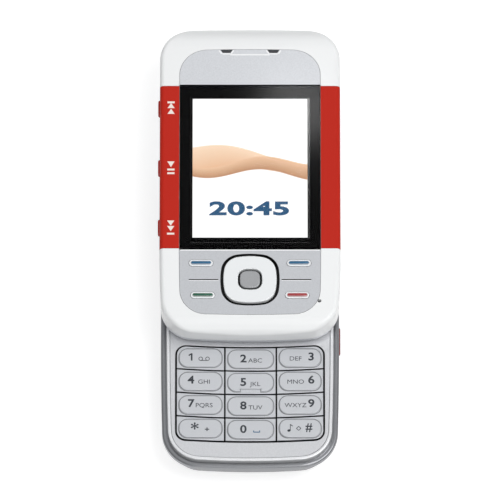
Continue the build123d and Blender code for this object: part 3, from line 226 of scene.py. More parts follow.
def painted_seam_shade(tree, place, node, depth, paint):
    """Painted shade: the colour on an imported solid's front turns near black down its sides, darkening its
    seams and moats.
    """
    front = above(node).z / MM
    axes = add_node(tree, "ShaderNodeSeparateXYZ", {}, {"Vector": place})
    levels = {"From Min": front - depth, "From Max": front - PAINT_EDGE}
    painted = add_node(tree, "ShaderNodeMapRange", levels, {"Value": axes.outputs["Z"]})
    # near black below the front: painted shade in seams and moats
    skin = add_node(
        tree,
        "ShaderNodeMix",
        {"data_type": "RGBA", MIX_A: plain_colour(linear("0C0C0E"))},
        {MIX_SHARE: painted.outputs["Result"], MIX_B: paint},
    )
    return skin.outputs[MIX_RESULT]


def painted_key(name, rgb, roughness):
    """Number key: pearl paint under satin clear coat on top, turning near black down its sides and on its
    moat's floor: painted shade.
    """
    material, tree, output, place = start_material(name)
    speck = [part * PEARL_SHADE for part in rgb]
    pearl = add_node(tree, "ShaderNodeTexNoise", {"Scale": 1 / PEARL, "Detail": 2.0}, {"Vector": place})
    tone = add_node(
        tree,
        "ShaderNodeMix",
        {"data_type": "RGBA", MIX_A: plain_colour(speck), MIX_B: plain_colour(rgb)},
        {MIX_SHARE: pearl.outputs["Fac"]},
    )
    skin = painted_seam_shade(tree, place, "keypad_panel", KEY_SHADE_DEPTH, tone.outputs[MIX_RESULT])
    gloss = add_node(tree, "ShaderNodeMapRange", uneven(roughness, 0.1), {"Value": pearl.outputs["Fac"]})
    settings = {"Metallic": 0.15, "Coat Weight": 0.3, "Coat Roughness": 0.1}
    links = {"Base Color": skin, "Roughness": gloss.outputs["Result"]}
    shader = add_node(tree, "ShaderNodeBsdfPrincipled", settings, links)
    tree.links.new(shader.outputs["BSDF"], output.inputs["Surface"])
    return material


def metallic_paint(name, rgb, roughness, metallic, coat=0.4, front=None):
    """Silver lacquer under clear coat: aluminium flakes, drawn a fifth of a millimetre wide to show.

    Where the solid at its front is named, the lacquer turns near black below that front: painted shade in the
    seams.
    """
    material, tree, output, place = start_material(name)
    flakes = add_node(tree, "ShaderNodeTexVoronoi", {"Scale": 1 / FLAKE}, {"Vector": place})
    sparkle = add_node(tree, "ShaderNodeMapRange", SPARKLE, {"Value": flakes.outputs["Color"]})
    tint = add_node(
        tree,
        "ShaderNodeMix",
        {"data_type": "RGBA", "blend_type": "MULTIPLY", MIX_SHARE: 1.0, MIX_A: plain_colour(rgb)},
        {MIX_B: sparkle.outputs["Result"]},
    )
    skin = tint.outputs[MIX_RESULT]
    if front is not None:
        skin = painted_seam_shade(tree, place, front, PANEL_SHADE_DEPTH, skin)
    cloud = add_node(tree, "ShaderNodeTexNoise", {"Scale": 1 / CLOUDS, "Detail": 2.0}, {"Vector": place})
    gloss = add_node(tree, "ShaderNodeMapRange", uneven(roughness, 0.1), {"Value": cloud.outputs["Fac"]})
    relief = {"Strength": 0.06, "Distance": FINE_RELIEF}
    bump = add_node(tree, "ShaderNodeBump", relief, {"Height": flakes.outputs["Distance"]})
    settings = {"Metallic": metallic, "Coat Weight": coat, "Coat Roughness": 0.12}
    links = {"Base Color": skin, "Roughness": gloss.outputs["Result"], "Normal": bump.outputs["Normal"]}
    shader = add_node(tree, "ShaderNodeBsdfPrincipled", settings, links)
    tree.links.new(shader.outputs["BSDF"], output.inputs["Surface"])
    return material


def rolled_steel(name, rgb, roughness):
    """Stamped stainless sheet: faint rolling lines along the phone and a satin shine."""
    material, tree, output, place = start_material(name)
    scale = (1 / ROLLING, ROLLING_RATIO / ROLLING, 1 / ROLLING)
    stretch = add_node(tree, "ShaderNodeMapping", {"Scale": scale}, {"Vector": place})
    lines = add_node(
        tree, "ShaderNodeTexNoise", {"Scale": 1.0, "Detail": 3.0}, {"Vector": stretch.outputs["Vector"]}
    )
    gloss = add_node(tree, "ShaderNodeMapRange", uneven(roughness, 0.3), {"Value": lines.outputs["Fac"]})
    relief = {"Strength": 0.1, "Distance": FINE_RELIEF}
    bump = add_node(tree, "ShaderNodeBump", relief, {"Height": lines.outputs["Fac"]})
    settings = {"Base Color": plain_colour(rgb), "Metallic": 1.0}
    links = {"Roughness": gloss.outputs["Result"], "Normal": bump.outputs["Normal"]}
    shader = add_node(tree, "ShaderNodeBsdfPrincipled", settings, links)
    tree.links.new(shader.outputs["BSDF"], output.inputs["Surface"])
    return material


def clear_glass(name, rgb, reflection, roughness):
    """Clear acrylic or glass: an anti-glare coat leaves a share of the reflection, a little soft."""
    material, tree, output, place = start_material(name)
    wipe = add_node(tree, "ShaderNodeTexNoise", {"Scale": 1 / WIPES, "Detail": 2.0}, {"Vector": place})
    gloss = add_node(tree, "ShaderNodeMapRange", uneven(roughness, 0.1), {"Value": wipe.outputs["Fac"]})
    settings = {
        "Base Color": plain_colour(rgb),
        "Transmission Weight": 1.0,
        "IOR": 1.49,
        "Specular Tint": (reflection, reflection, reflection, 1.0),
    }
    shader = add_node(tree, "ShaderNodeBsdfPrincipled", settings, {"Roughness": gloss.outputs["Result"]})
    tree.links.new(shader.outputs["BSDF"], output.inputs["Surface"])
    return material


def circuit_board(name):
    """Glass-fibre board under green solder mask, with paler copper tracks."""
    material, tree, output, place = start_material(name)
    settings = {
        "Scale": 1 / TRACKS,
        "Mortar Size": 0.03,
        "Color1": plain_colour(linear("1E4A30")),
        "Color2": plain_colour(linear("1A442B")),
        "Mortar": plain_colour(linear("4E8A55")),
    }
    tracks = add_node(tree, "ShaderNodeTexBrick", settings, {"Vector": place})
    shader = add_node(
        tree, "ShaderNodeBsdfPrincipled", {"Roughness": 0.35}, {"Base Color": tracks.outputs["Color"]}
    )
    tree.links.new(shader.outputs["BSDF"], output.inputs["Surface"])
    return material


def woven_mesh(name, rgb, pitch):
    """Fine woven wire: crossings that catch the light, and dark holes."""
    material, tree, output, place = start_material(name)
    hole = [part * HOLE_SHADE for part in rgb]
    settings = {"Scale": 1 / pitch, "Color1": plain_colour(rgb), "Color2": plain_colour(hole)}
    weave = add_node(tree, "ShaderNodeTexChecker", settings, {"Vector": place})
    settings = {"Metallic": 0.7, "Roughness": 0.4}
    shader = add_node(tree, "ShaderNodeBsdfPrincipled", settings, {"Base Color": weave.outputs["Color"]})
    tree.links.new(shader.outputs["BSDF"], output.inputs["Surface"])
    return material


def lit(name, rgb):
    """Part of the lit screen's picture, in one plain colour."""
    material, tree, output, _ = start_material(name)
    settings = {
        "Base Color": (0.0, 0.0, 0.0, 1.0),
        "Roughness": 0.3,
        "Emission Color": plain_colour(rgb),
        "Emission Strength": 1.0,
    }
    shader = add_node(tree, "ShaderNodeBsdfPrincipled", settings)
    tree.links.new(shader.outputs["BSDF"], output.inputs["Surface"])
    return material


# level, swing, waves, phase, half width and taper of each ribbon, in millimetres and radians over the screen,
# and its colours at the foot and at the head
RIBBONS = (
    ((2.3, 1.8, 0.16, 2.6, 2.6, -0.1), ("E3B58F", "F4D8BC")),
    ((0.5, 1.5, 0.21, 0.9, 1.9, 0.03), ("B98560", "E8C09C")),
)
RIBBON_EDGE = 0.9  # where a ribbon's edge starts to soften, as a share of its half width
BACKLIGHT = 1.06


def ribbon_mask(tree, across, up, ribbon):
    """How much of a soft ribbon covers each point of the screen, and the place across the ribbon."""
    level, swing, waves, phase, width, taper = ribbon
    angle = add_node(tree, "ShaderNodeMath", {"operation": "MULTIPLY_ADD", 1: waves, 2: phase}, {0: across})
    wave = add_node(tree, "ShaderNodeMath", {"operation": "SINE"}, {0: angle.outputs[0]})
    settings = {"operation": "MULTIPLY_ADD", 1: swing, 2: level}
    middle = add_node(tree, "ShaderNodeMath", settings, {0: wave.outputs[0]})
    rise = add_node(tree, "ShaderNodeMath", {"operation": "SUBTRACT"}, {0: up, 1: middle.outputs[0]})
    half = add_node(tree, "ShaderNodeMath", {"operation": "MULTIPLY_ADD", 1: taper, 2: width}, {0: across})
    links = {0: rise.outputs[0], 1: half.outputs[0]}
    share = add_node(tree, "ShaderNodeMath", {"operation": "DIVIDE"}, links)
    distance = add_node(tree, "ShaderNodeMath", {"operation": "ABSOLUTE"}, {0: share.outputs[0]})
    settings = {"From Min": 1.0, "From Max": RIBBON_EDGE}
    mask = add_node(tree, "ShaderNodeMapRange", settings, {"Value": distance.outputs[0]})
    return mask.outputs["Result"], share.outputs[0]


def screen_picture(name):
    """Backlit colour display: white, with two sand-coloured ribbons across its middle."""
    material, tree, output, place = start_material(name)
    axes = add_node(tree, "ShaderNodeSeparateXYZ", {}, {"Vector": place})
    middle = (PANEL_LOW.y + PANEL_HIGH.y) / 2 / MM
    up = add_node(tree, "ShaderNodeMath", {"operation": "SUBTRACT", 1: middle}, {0: axes.outputs["Y"]})
    picture = add_node(tree, "ShaderNodeRGB")
    picture.outputs[0].default_value = (1.0, 1.0, 1.0, 1.0)
    layer = picture.outputs[0]
    for ribbon, (low, high) in RIBBONS:
        mask, share = ribbon_mask(tree, axes.outputs["X"], up.outputs[0], ribbon)
        shade = add_node(tree, "ShaderNodeMapRange", {"From Min": -1.0, "From Max": 1.0}, {"Value": share})
        sand = add_node(
            tree,
            "ShaderNodeMix",
            {"data_type": "RGBA", MIX_A: plain_colour(linear(low)), MIX_B: plain_colour(linear(high))},
            {MIX_SHARE: shade.outputs["Result"]},
        )
        links = {MIX_SHARE: mask, MIX_A: layer, MIX_B: sand.outputs[MIX_RESULT]}
        layer = add_node(tree, "ShaderNodeMix", {"data_type": "RGBA"}, links).outputs[MIX_RESULT]
    settings = {"Base Color": (0.0, 0.0, 0.0, 1.0), "Roughness": 0.3, "Emission Strength": BACKLIGHT}
    shader = add_node(tree, "ShaderNodeBsdfPrincipled", settings, {"Emission Color": layer})
    tree.links.new(shader.outputs["BSDF"], output.inputs["Surface"])
    return material


# ---------------------------------------------------------------- modelling helpers
CAPITAL = 1.38  # size of Blender's own letters over the height of a capital
CURVE_STEPS = 4  # of each curve of a letter
RING_SIDES = 24


def select_none():
    bpy.ops.object.select_all(action="DESELECT")


def select_only(piece):
    select_none()
    piece.select_set(True)
    bpy.context.view_layer.objects.active = piece


def leave_edit():
    bpy.ops.object.mode_set(mode="OBJECT")


def pick(piece, test):
    """Goes into edit mode and selects the vertices whose place passes the test."""
    select_only(piece)
    bpy.ops.object.mode_set(mode="EDIT")
    bpy.ops.mesh.select_mode(type="VERT")
    shape = bmesh.from_edit_mesh(piece.data)
    for vertex in shape.verts:
        vertex.select = bool(test(vertex.co))
    shape.select_flush_mode()
    bmesh.update_edit_mesh(piece.data)


def join(pieces):
    """One object from several, as the first of them."""
    select_only(pieces[0])
    for piece in pieces[1:]:
        piece.select_set(True)
    bpy.ops.object.join()
    return pieces[0]


def settle(piece, name, body, material):
    """Names a finished piece, puts its place in its mesh, and hands it to the body that carries it."""
    piece.name = name
    piece.data.name = name
    select_only(piece)
    bpy.ops.object.transform_apply(location=True, rotation=True, scale=True)
    piece.data.materials.clear()
    piece.data.materials.append(material)
    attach(piece, body)
    return piece


def dress(material, *nodes):
    """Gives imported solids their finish."""
    for node in nodes:
        slots = NODES[node].data.materials
        slots.clear()
        slots.append(material)


def lettering(text, height, middle, width=1.0, weight=0.0, spacing=1.0):
    """Printed characters of a real height, centred on a point, drawn a metre high and brought to size.

    Their width is given over the font's own, and weight is added all round each stroke, in metres.
    """
    select_none()
    bpy.ops.object.text_add(location=middle)
    letters = bpy.context.object
    size = height * CAPITAL
    letters.data.body = text
    letters.data.align_x = "CENTER"
    letters.data.align_y = "CENTER"
    letters.data.space_character = spacing
    letters.data.extrude = sizes().print_height / 2 / size
    letters.data.offset = weight / size
    letters.data.resolution_u = CURVE_STEPS
    bpy.ops.object.convert(target="MESH")
    letters = bpy.context.object
    letters.scale = (width * size, size, size)
    return letters


def thicken(piece):
    """Gives a flat shape the thickness of ink, upwards."""
    select_only(piece)
    solid = piece.modifiers.new("Ink", "SOLIDIFY")
    solid.thickness = sizes().print_height
    solid.offset = 1.0
    bpy.ops.object.modifier_apply(modifier=solid.name)
    return piece


def flat_plane(middle, width, length, turn=0.0):
    """A flat rectangle, with its size in its mesh."""
    select_none()
    bpy.ops.mesh.primitive_plane_add(size=1.0, location=middle, rotation=(0, 0, turn))
    plane = bpy.context.object
    plane.scale = (width, length, 1)
    bpy.ops.object.transform_apply(location=False, rotation=False, scale=True)
    return plane


def flat_round(middle, radius, sides, turn=0.0, squeeze=1.0):
    """A flat polygon, or a disc where its sides are many, with its size in its mesh."""
    select_none()
    bpy.ops.mesh.primitive_circle_add(
        vertices=sides, radius=radius, fill_type="NGON", location=middle, rotation=(0, 0, turn)
    )
    shape = bpy.context.object
    shape.scale.y = squeeze
    bpy.ops.object.transform_apply(location=False, rotation=False, scale=True)
    return shape


def cut_middle(piece, border):
    """Cuts the middle out of a flat shape and leaves a border all round."""
    select_only(piece)
    bpy.ops.object.mode_set(mode="EDIT")
    bpy.ops.mesh.select_all(action="SELECT")
    bpy.ops.mesh.inset(thickness=border)
    bpy.ops.mesh.delete(type="ONLY_FACE")
    leave_edit()
    return piece


def flat_bar(middle, width, length, turn=0.0):
    """A printed bar."""
    return thicken(flat_plane(middle, width, length, turn))


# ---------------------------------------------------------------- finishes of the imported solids
class PHONE_OT_casing(bpy.types.Operator):
    """Finish the slider's casing, strips, panels and keys"""

    bl_idname = "phone.casing"
    bl_label = "Slider Finishes"

    def execute(self, context):
        paint = colours()
        # gloss ABS, polished tool: a clean highlight that is hardly broken
        casing = moulded("gloss_white_abs", paint.casing, 0.2, 1.6, 0.05, coat=0.1, specular=0.4)
        # soft-touch polyurethane paint: a broad, dull highlight over a leathery grain of a quarter millimetre
        soft_red = moulded("soft_touch_red", paint.strip, 0.45, 0.25, 0.12, specular=0.15)
        # flake lacquer over ABS: a grey shine with a fine sparkle, nearly white on the function keys' caps
        silver = metallic_paint("silver_lacquer", paint.silver, 0.38, 0.35)
        # the earpiece panel's and the function plate's lacquers turn near black down their sides: painted
        # shade in the seams round them
        earpiece = metallic_paint("earpiece_lacquer", paint.silver, 0.38, 0.35, front="earpiece_panel")
        plate = metallic_paint("plate_lacquer", paint.plate, 0.38, 0.35, front="function_plate")
        cap = metallic_paint("pale_lacquer", paint.cap, 0.3, 0.15)
        select = metallic_paint("grey_lacquer", paint.select, 0.36, 0.5)
        # satin polycarbonate: even and bright, without a sharp reflection
        ring = moulded("satin_white_polycarbonate", paint.navigation, 0.32, 0.8, 0.05, coat=0.2)
        # die-cut foam, glass-filled plastic and silicone, all dull and dark
        foam = moulded("black_foam", linear("101011"), 0.9, 0.4, 0.6)
        dark = moulded("black_nylon", linear("1C1D1F"), 0.55, 0.3, 0.2)
        rubber = moulded("black_silicone", linear("0E0E0F"), 0.6, 0.6, 0.1)
        # the microphone at the foot of its hole: black, taken down to near black with nothing to catch the
        # light, as painted shade in the hole
        port_shade = moulded("black_port_painted_shade", linear("020203"), 0.95, 0.3, 0.0, specular=0.05)
        # blackened steel wire, woven a quarter of a millimetre apart
        mesh = woven_mesh("woven_steel_mesh", linear("1F2123"), 0.25)
        # hard-coated acrylic: clear, with a weak and slightly soft reflection
        window = clear_glass("hard_coated_acrylic", (1.0, 1.0, 1.0), 0.17, 0.075)
        dress(casing, "slider_front_cover")
        dress(soft_red, "left_side_strip", "right_side_strip", *MUSIC_KEYS)
        dress(silver, "slider_back_cover")
        dress(earpiece, "earpiece_panel")
        dress(plate, "function_plate")
        dress(cap, *FUNCTION_KEYS)
        dress(select, "select_key")
        dress(ring, "navigation_key")
        dress(rubber, "navigation_pad")
        dress(foam, "display_gasket")
        dress(dark, "display_frame", "earpiece_speaker")
        dress(port_shade, "microphone")
        dress(mesh, "earpiece_mesh")
        dress(window, "display_window")
        dress(screen_picture("lit_display"), "display_panel")
        dress(circuit_board("green_solder_mask_slider"), "slider_board")
        dress(moulded("black_solder_mask", linear("0D0D0F"), 0.5, 0.3, 0.05), "function_board")
        return {"FINISHED"}


class PHONE_OT_lower_half(bpy.types.Operator):
    """Finish the lower half, its keys, sockets and slide"""

    bl_idname = "phone.lower_half"
    bl_label = "Lower Half Finishes"

    def execute(self, context):
        paint = colours()
        # flake lacquers: a pale one round the keys, a bright one on the rim, and greyer ones on the cases
        # the lacquer round the keys turns near black down its sides: painted shade in its seams
        keypad = metallic_paint("keypad_lacquer", paint.keypad, 0.34, 0.3, front="keypad_panel")
        rim = metallic_paint("bright_rim_lacquer", paint.rim, 0.2, 0.3)
        band = metallic_paint("band_lacquer", paint.band, 0.32, 1.0, coat=0.0)
        housing = metallic_paint("housing_lacquer", paint.housing, 0.5, 0.4, coat=0.05)
        # the number keys turn near black down their sides and on their moats' floors: painted shade
        key = painted_key("painted_polycarbonate", paint.key, 0.3)
        # spark-eroded ABS: a soft, slightly grainy shine, in the strips' red darkened as painted shade on the
        # lower half's edge
        side = moulded("shaded_red_abs", paint.shaded_side_key, 0.3, 0.4, 0.08)
        dark = moulded("black_abs", linear("18191B"), 0.45, 0.3, 0.15)
        # smoked glass, polished: dark, with a full and sharp reflection
        lens = clear_glass("camera_glass", linear("4A4E58"), 1.0, 0.03)
        steel = rolled_steel("rolled_stainless", linear("B9BBBE"), 0.28)
        # moulded silicone, and the battery's shrunk sleeve: both dull
        mat = moulded("keypad_silicone", linear("0E0E10"), 0.6, 0.6, 0.1)
        sleeve = moulded("battery_sleeve", linear("5A5D61"), 0.5, 0.35, 0.12)
        dress(keypad, "keypad_panel")
        dress(rim, "keypad_rim")
        dress(band, "base_front_case")
        dress(housing, "back_housing", "battery_cover")
        dress(key, *["key_" + digit for digit in DIGITS])
        dress(side, "volume_key", "camera_key", "power_key")
        dress(dark, "headset_socket", "charger_socket", "speaker_grille", "loudspeaker", "camera_module")
        dress(lens, "camera_window")
        dress(steel, "slide_rails", "slide_plate", "slide_spring", "usb_socket")
        dress(steel, "base_screws", "slider_screws")
        dress(circuit_board("green_solder_mask_main"), "main_board")
        dress(mat, "keypad_mat")
        dress(sleeve, "battery")
        return {"FINISHED"}


# ---------------------------------------------------------------- legends
# column of the key: places of the digit and of the letters across, and both up, in millimetres off its middle
LEGEND_PLACES = {0: (-2.5, 0.95, 0.0), 1: (-1.9, 1.25, -0.3), 2: (2.95, -1.2, 0.0)}
LETTERS = {"2": "ABC", "3": "DEF", "4": "GHI", "5": "JKL", "6": "MNO", "7": "PQRS", "8": "TUV", "9": "WXYZ"}
DIGIT_UP, LETTERS_UP = 0.22, -0.3
LEGEND_WIDTH = 1.12  # over the font's own
DIGIT_WEIGHT = 0.08 * MM

# characters that stand as signs: height, place across and up, in millimetres, width over the font's own
# and added weight
STAR_SIGNS = (("*", 3.2, -1.5, -0.35, 1.1, 0.06), ("+", 1.5, 1.75, -0.5, 1.1, 0.04))
HASH_SIGN = ("#", 2.5, 2.3, 0.15, 0.85, 0.06)

# bars of the drawn signs: place across and up off the sign's middle, width and length, in millimetres,
# and turn in radians
ONE = ((0.168, 0.0, 0.42, 2.1, 0.0), (-0.231, 0.693, 0.966, 0.336, 0.62))
RINGS_LINE = ((0.0, -0.5, 1.9, 0.18, 0.0),)
NOTE_STEM = ((0.0, 0.15, 0.18, 1.9, 0.0), (0.3, 0.82, 0.85, 0.2, -0.7))
DIAMOND = tuple(
    (side * 0.29, end * 0.29, 0.92, 0.17, -side * end * math.pi / 4) for side in (-1, 1) for end in (-1, 1)
)
SPACE = ((0.0, -0.85, 1.8, 0.24, 0.0), (-0.8, -0.62, 0.22, 0.5, 0.0), (0.8, -0.62, 0.22, 0.5, 0.0))

RINGS = (0.9, 0.58, 0.17)  # place of each off the sign's middle, radius and width, in millimetres
NOTE_HEAD = (-0.36, -0.72, 0.46)  # place across and up off the note's middle, and radius, in millimetres
NOTE_HEAD_SHAPE = (16, 0.3, 0.75)  # sides, turn, and height over width
NOTE_AT, DIAMOND_AT, SPACE_AT = (-2.6, -0.05), (-0.4, -0.15), (1.6, 0.0)  # off the key's middle


def key_point(key, across, up):
    """A point on a number key's pillow, in metres, from millimetres off its middle."""
    middle = above("key_" + key)
    return (middle.x + across * MM, middle.y + up * MM, middle.z + sizes().print_height / 2)


def key_bars(key, across, up, bars):
    """The bars of a sign on a number key."""
    return [
        flat_bar(key_point(key, across + x, up + y), width * MM, length * MM, turn)
        for x, y, width, length, turn in bars
    ]


def key_sign(key, text, height, across, up, width, weight):
    """A character that stands as a sign on a number key."""
    return lettering(text, height * MM, key_point(key, across, up), width, weight * MM)


def voicemail_mark(key, across, up):
    """Two rings joined by a line, the common sign for recorded messages."""
    apart, radius, width = RINGS
    marks = []
    for side in (-1, 1):
        ring = flat_round(key_point(key, across + side * apart, up), radius * MM, RING_SIDES)
        marks.append(thicken(cut_middle(ring, width * MM)))
    return marks + key_bars(key, across, up, RINGS_LINE)


def note_mark(key, across, up):
    """A musical note: head, stem and flag."""
    x, y, radius = NOTE_HEAD
    head = flat_round(key_point(key, across + x, up + y), radius * MM, *NOTE_HEAD_SHAPE)
    return [thicken(head), *key_bars(key, across, up, NOTE_STEM)]


class PHONE_OT_legends(bpy.types.Operator):
    """Print the digits, letters and signs on the number keys, and fill the middle key's notch"""

    bl_idname = "phone.legends"
    bl_label = "Key Legends"

    # the step in the middle key: place off the key's middle, width and length, in millimetres
    STEP = (0.0, -2.42, 5.1, 1.0)
    STEP_DROP = 0.075 * MM  # of its underside, below the keypad panel's front

    def execute(self, context):
        # screen-printed ink: dark, and dull against the key's sheen
        ink = moulded("legend_ink", colours().legend, 0.5, 0.3, 0.1)
        for index, key in enumerate(DIGITS):
            marks = self.marks(key, *LEGEND_PLACES[index % 3])
            settle(join(marks), "legend_" + key, "key_" + key, ink)
        self.space_mark()
        self.middle_step()
        return {"FINISHED"}

    def marks(self, key, digit_at, letters_at, lift):
        """The digit, letters and signs of one key."""
        if key == "1":
            return key_bars(key, digit_at, DIGIT_UP, ONE) + voicemail_mark(key, letters_at, LETTERS_UP)
        if key == "star":
            return [key_sign(key, *sign) for sign in STAR_SIGNS]
        if key == "hash":
            note = note_mark(key, *NOTE_AT)
            return [*note, *key_bars(key, *DIAMOND_AT, DIAMOND), key_sign(key, *HASH_SIGN)]
        marks = []
        if key in LETTERS:
            place = key_point(key, letters_at, LETTERS_UP + lift)
            marks.append(lettering(LETTERS[key], sizes().letters, place, LEGEND_WIDTH))
        place = key_point(key, digit_at, DIGIT_UP + lift)
        marks.append(lettering(key, sizes().digit, place, LEGEND_WIDTH, DIGIT_WEIGHT))
        return marks

    def space_mark(self):
        """The blue bracket for a space, beside the nought."""
        ink = moulded("blue_ink", colours().selection_bar, 0.5, 0.3, 0.1)
        settle(join(key_bars("0", *SPACE_AT, SPACE)), "space_mark", "key_0", ink)

    def middle_step(self):
        """The pale step that fills the notch in the middle key's pillow."""
        paint = metallic_paint("key_step_lacquer", colours().key, 0.3, 0.15)
        across, up, width, length = self.STEP
        place = Vector(key_point("5", across, up))
        place.z = above("keypad_panel").z - self.STEP_DROP
        settle(flat_bar(place, width * MM, length * MM), "key_5_step", "key_5", paint)


# ---------------------------------------------------------------- edges, inlays and signs of the slider
class PHONE_OT_painted_highlights(bpy.types.Operator):
    """Add painted highlights along the edges of the earpiece panel and the function plate, and the earpiece's
    cloth
    """

    bl_idname = "phone.bright_edges"
    bl_label = "Painted Highlights"

    # all in millimetres
    # earpiece openings: place across, half widths at the head and at the foot, and depth
    OPENINGS = (6.3, 1.7, 1.05, 1.0)
    CLOTH_DEPTH = 0.12  # of the cloth behind the openings, below the panel's front
    # places of the lines below the panel's head, and below the navigation key's middle
    OPENING_DROP, BAR_DROP, SLIT_DROP = 0.05, 1.52, 0.26
    SLIT_START, SLIT_END = 8.35, 16.2  # off the phone's middle
    HEAD_SPARE = 0.4  # how much shorter than the function plate the line at its head is
    RIM_WIDTH, BAR_WIDTH, SLIT_WIDTH, HEAD_WIDTH = 0.42, 0.45, 0.2, 0.3

    def execute(self, context):
        # painted highlights along the edges of the lacquered panels: near-white bars without flakes, where
        # those edges catch the light
        edge_highlight = moulded("painted_highlight_edge", linear("F7F8F9"), 0.25, 0.8, 0.02)
        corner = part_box("earpiece_panel")[1]
        head, front = corner.y / MM, corner.z
        settle(join(self.earpiece_lines(head, front)), "earpiece_highlights", "slider", edge_highlight)
        settle(join(self.plate_lines()), "plate_highlights", "slider", edge_highlight)
        # acoustic cloth: woven grey polyester, dull and nearly without reflection
        cloth = moulded("grey_polyester_cloth", linear("4C4D50"), 0.95, 0.2, 0.5, specular=0.1)
        settle(join(self.cloths(head, front)), "earpiece_cloth", "slider", cloth)
        return {"FINISHED"}

    def line(self, x, y, z, length, width, turn=0.0):
        """A thin painted highlight along x, placed and sized in millimetres, at a level in metres."""
        return flat_bar((x * MM, y * MM, z), length * MM, width * MM, turn)

    def cloths(self, head, front):
        """Grey cloth in the two openings, narrower at the foot."""
        across, wide, narrow, depth = self.OPENINGS
        y = (head - self.OPENING_DROP - depth / 2) * MM
        pieces = []
        for side in (-1, 1):
            middle = (side * across * MM, y, front - self.CLOTH_DEPTH * MM)
            cloth = flat_plane(middle, 2 * wide * MM, depth * MM)
            pick(cloth, lambda co: co.y < 0)
            bpy.ops.transform.resize(value=(narrow / wide, 1, 1))
            leave_edit()
            pieces.append(thicken(cloth))
        return pieces

    def earpiece_lines(self, head, front):
        """Painted highlights: edges of the two openings, and the bar that joins them."""
        across, wide, narrow, depth = self.OPENINGS
        foot = head - self.OPENING_DROP - depth
        slope = math.hypot(wide - narrow, depth)
        turn = math.atan2(depth, wide - narrow)
        rim = self.RIM_WIDTH
        lines = [self.line(0, head - self.BAR_DROP, front, 2 * (across - narrow), self.BAR_WIDTH)]
        for side in (-1, 1):
            lines.append(self.line(side * across, foot - rim / 2, front, 2 * narrow, rim))
            for end in (-1, 1):
                x = side * across + end * ((wide + narrow) / 2 + rim / 2)
                lines.append(self.line(x, foot + depth / 2 - rim / 2, front, slope, rim, end * turn))
        return lines

    def plate_lines(self):
        """Painted highlights: the line at the function plate's head, and a thin one on each side of the
        navigation key.
        """
        low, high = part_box("function_plate")
        head = high.y / MM - self.HEAD_WIDTH / 2
        lines = [self.line(0, head, high.z, (high.x - low.x) / MM - self.HEAD_SPARE, self.HEAD_WIDTH)]
        middle = (self.SLIT_START + self.SLIT_END) / 2
        slit = above("navigation_key").y / MM - self.SLIT_DROP
        for side in (-1, 1):
            length = self.SLIT_END - self.SLIT_START
            lines.append(self.line(side * middle, slit, high.z, length, self.SLIT_WIDTH))
        return lines


class PHONE_OT_key_bars(bpy.types.Operator):
    """Make the coloured inlays of the function keys"""

    bl_idname = "phone.key_bars"
    bl_label = "Key Bars"

    # width, length and shift towards the head of each layer, in millimetres
    EDGE, BAR = (1.1, 5.5, 0.0), (0.74, 5.2, 0.14)
    DEPTH = 0.16 * MM
    SINK = 0.05 * MM  # of each layer's middle, below the key's top
    LIFT = 0.2  # how far a shifted layer rises, over its shift
    SOFTNESS = 0.05 * MM  # of its edges
    MIDDLE_LINE = 0.01 * MM  # half width of the strip that counts as a bar's middle line
    PALE_BASE, PALE_SHARE = 0.28, 0.5  # white in the colour of the painted highlight layer, and share of the key's own

    def execute(self, context):
        paint = colours()
        tints = {
            "left_selection_key": paint.selection_bar,
            "right_selection_key": paint.selection_bar,
            "call_key": paint.call_bar,
            "end_key": paint.end_bar,
        }
        for key, tint in tints.items():
            # clear-coated polycarbonate inlay in a deep colour, with a paler copy of it along its sloping
            # foot edge as a painted highlight
            highlight_tint = [self.PALE_BASE + self.PALE_SHARE * part for part in tint]
            deep = moulded("deep_inlay_" + key, tint, 0.15, 0.5, 0.04, coat=0.3)
            inlay_highlight = moulded("painted_highlight_inlay_" + key, highlight_tint, 0.2, 0.5, 0.04, coat=0.3)
            name = key.replace("_key", "")
            self.inlay(key, name + "_edge", inlay_highlight, *self.EDGE)
            self.inlay(key, name + "_bar", deep, *self.BAR)
        return {"FINISHED"}

    def inlay(self, key, name, material, width, length, shift):
        """A rounded bar in the recess in the key's top."""
        place = above(key) + Vector((0.0, shift, shift * self.LIFT)) * MM
        place.z -= self.SINK
        select_none()
        bpy.ops.mesh.primitive_cylinder_add(
            vertices=32, radius=width / 2 * MM, depth=self.DEPTH, location=place
        )
        bar = bpy.context.object
        for side in (-1, 1):
            # each half moves out, and the corners on the middle line stay
            pick(bar, lambda co: co.x * side > self.MIDDLE_LINE)
            bpy.ops.transform.translate(value=(side * (length - width) / 2 * MM, 0, 0))
            leave_edit()
        bevel = bar.modifiers.new("Soft edge", "BEVEL")
        bevel.width = self.SOFTNESS
        bevel.segments = 2
        bevel.limit_method = "ANGLE"
        bpy.ops.object.modifier_apply(modifier=bevel.name)
        bpy.ops.object.shade_smooth_by_angle(angle=math.radians(35))
        settle(bar, name, key, material)


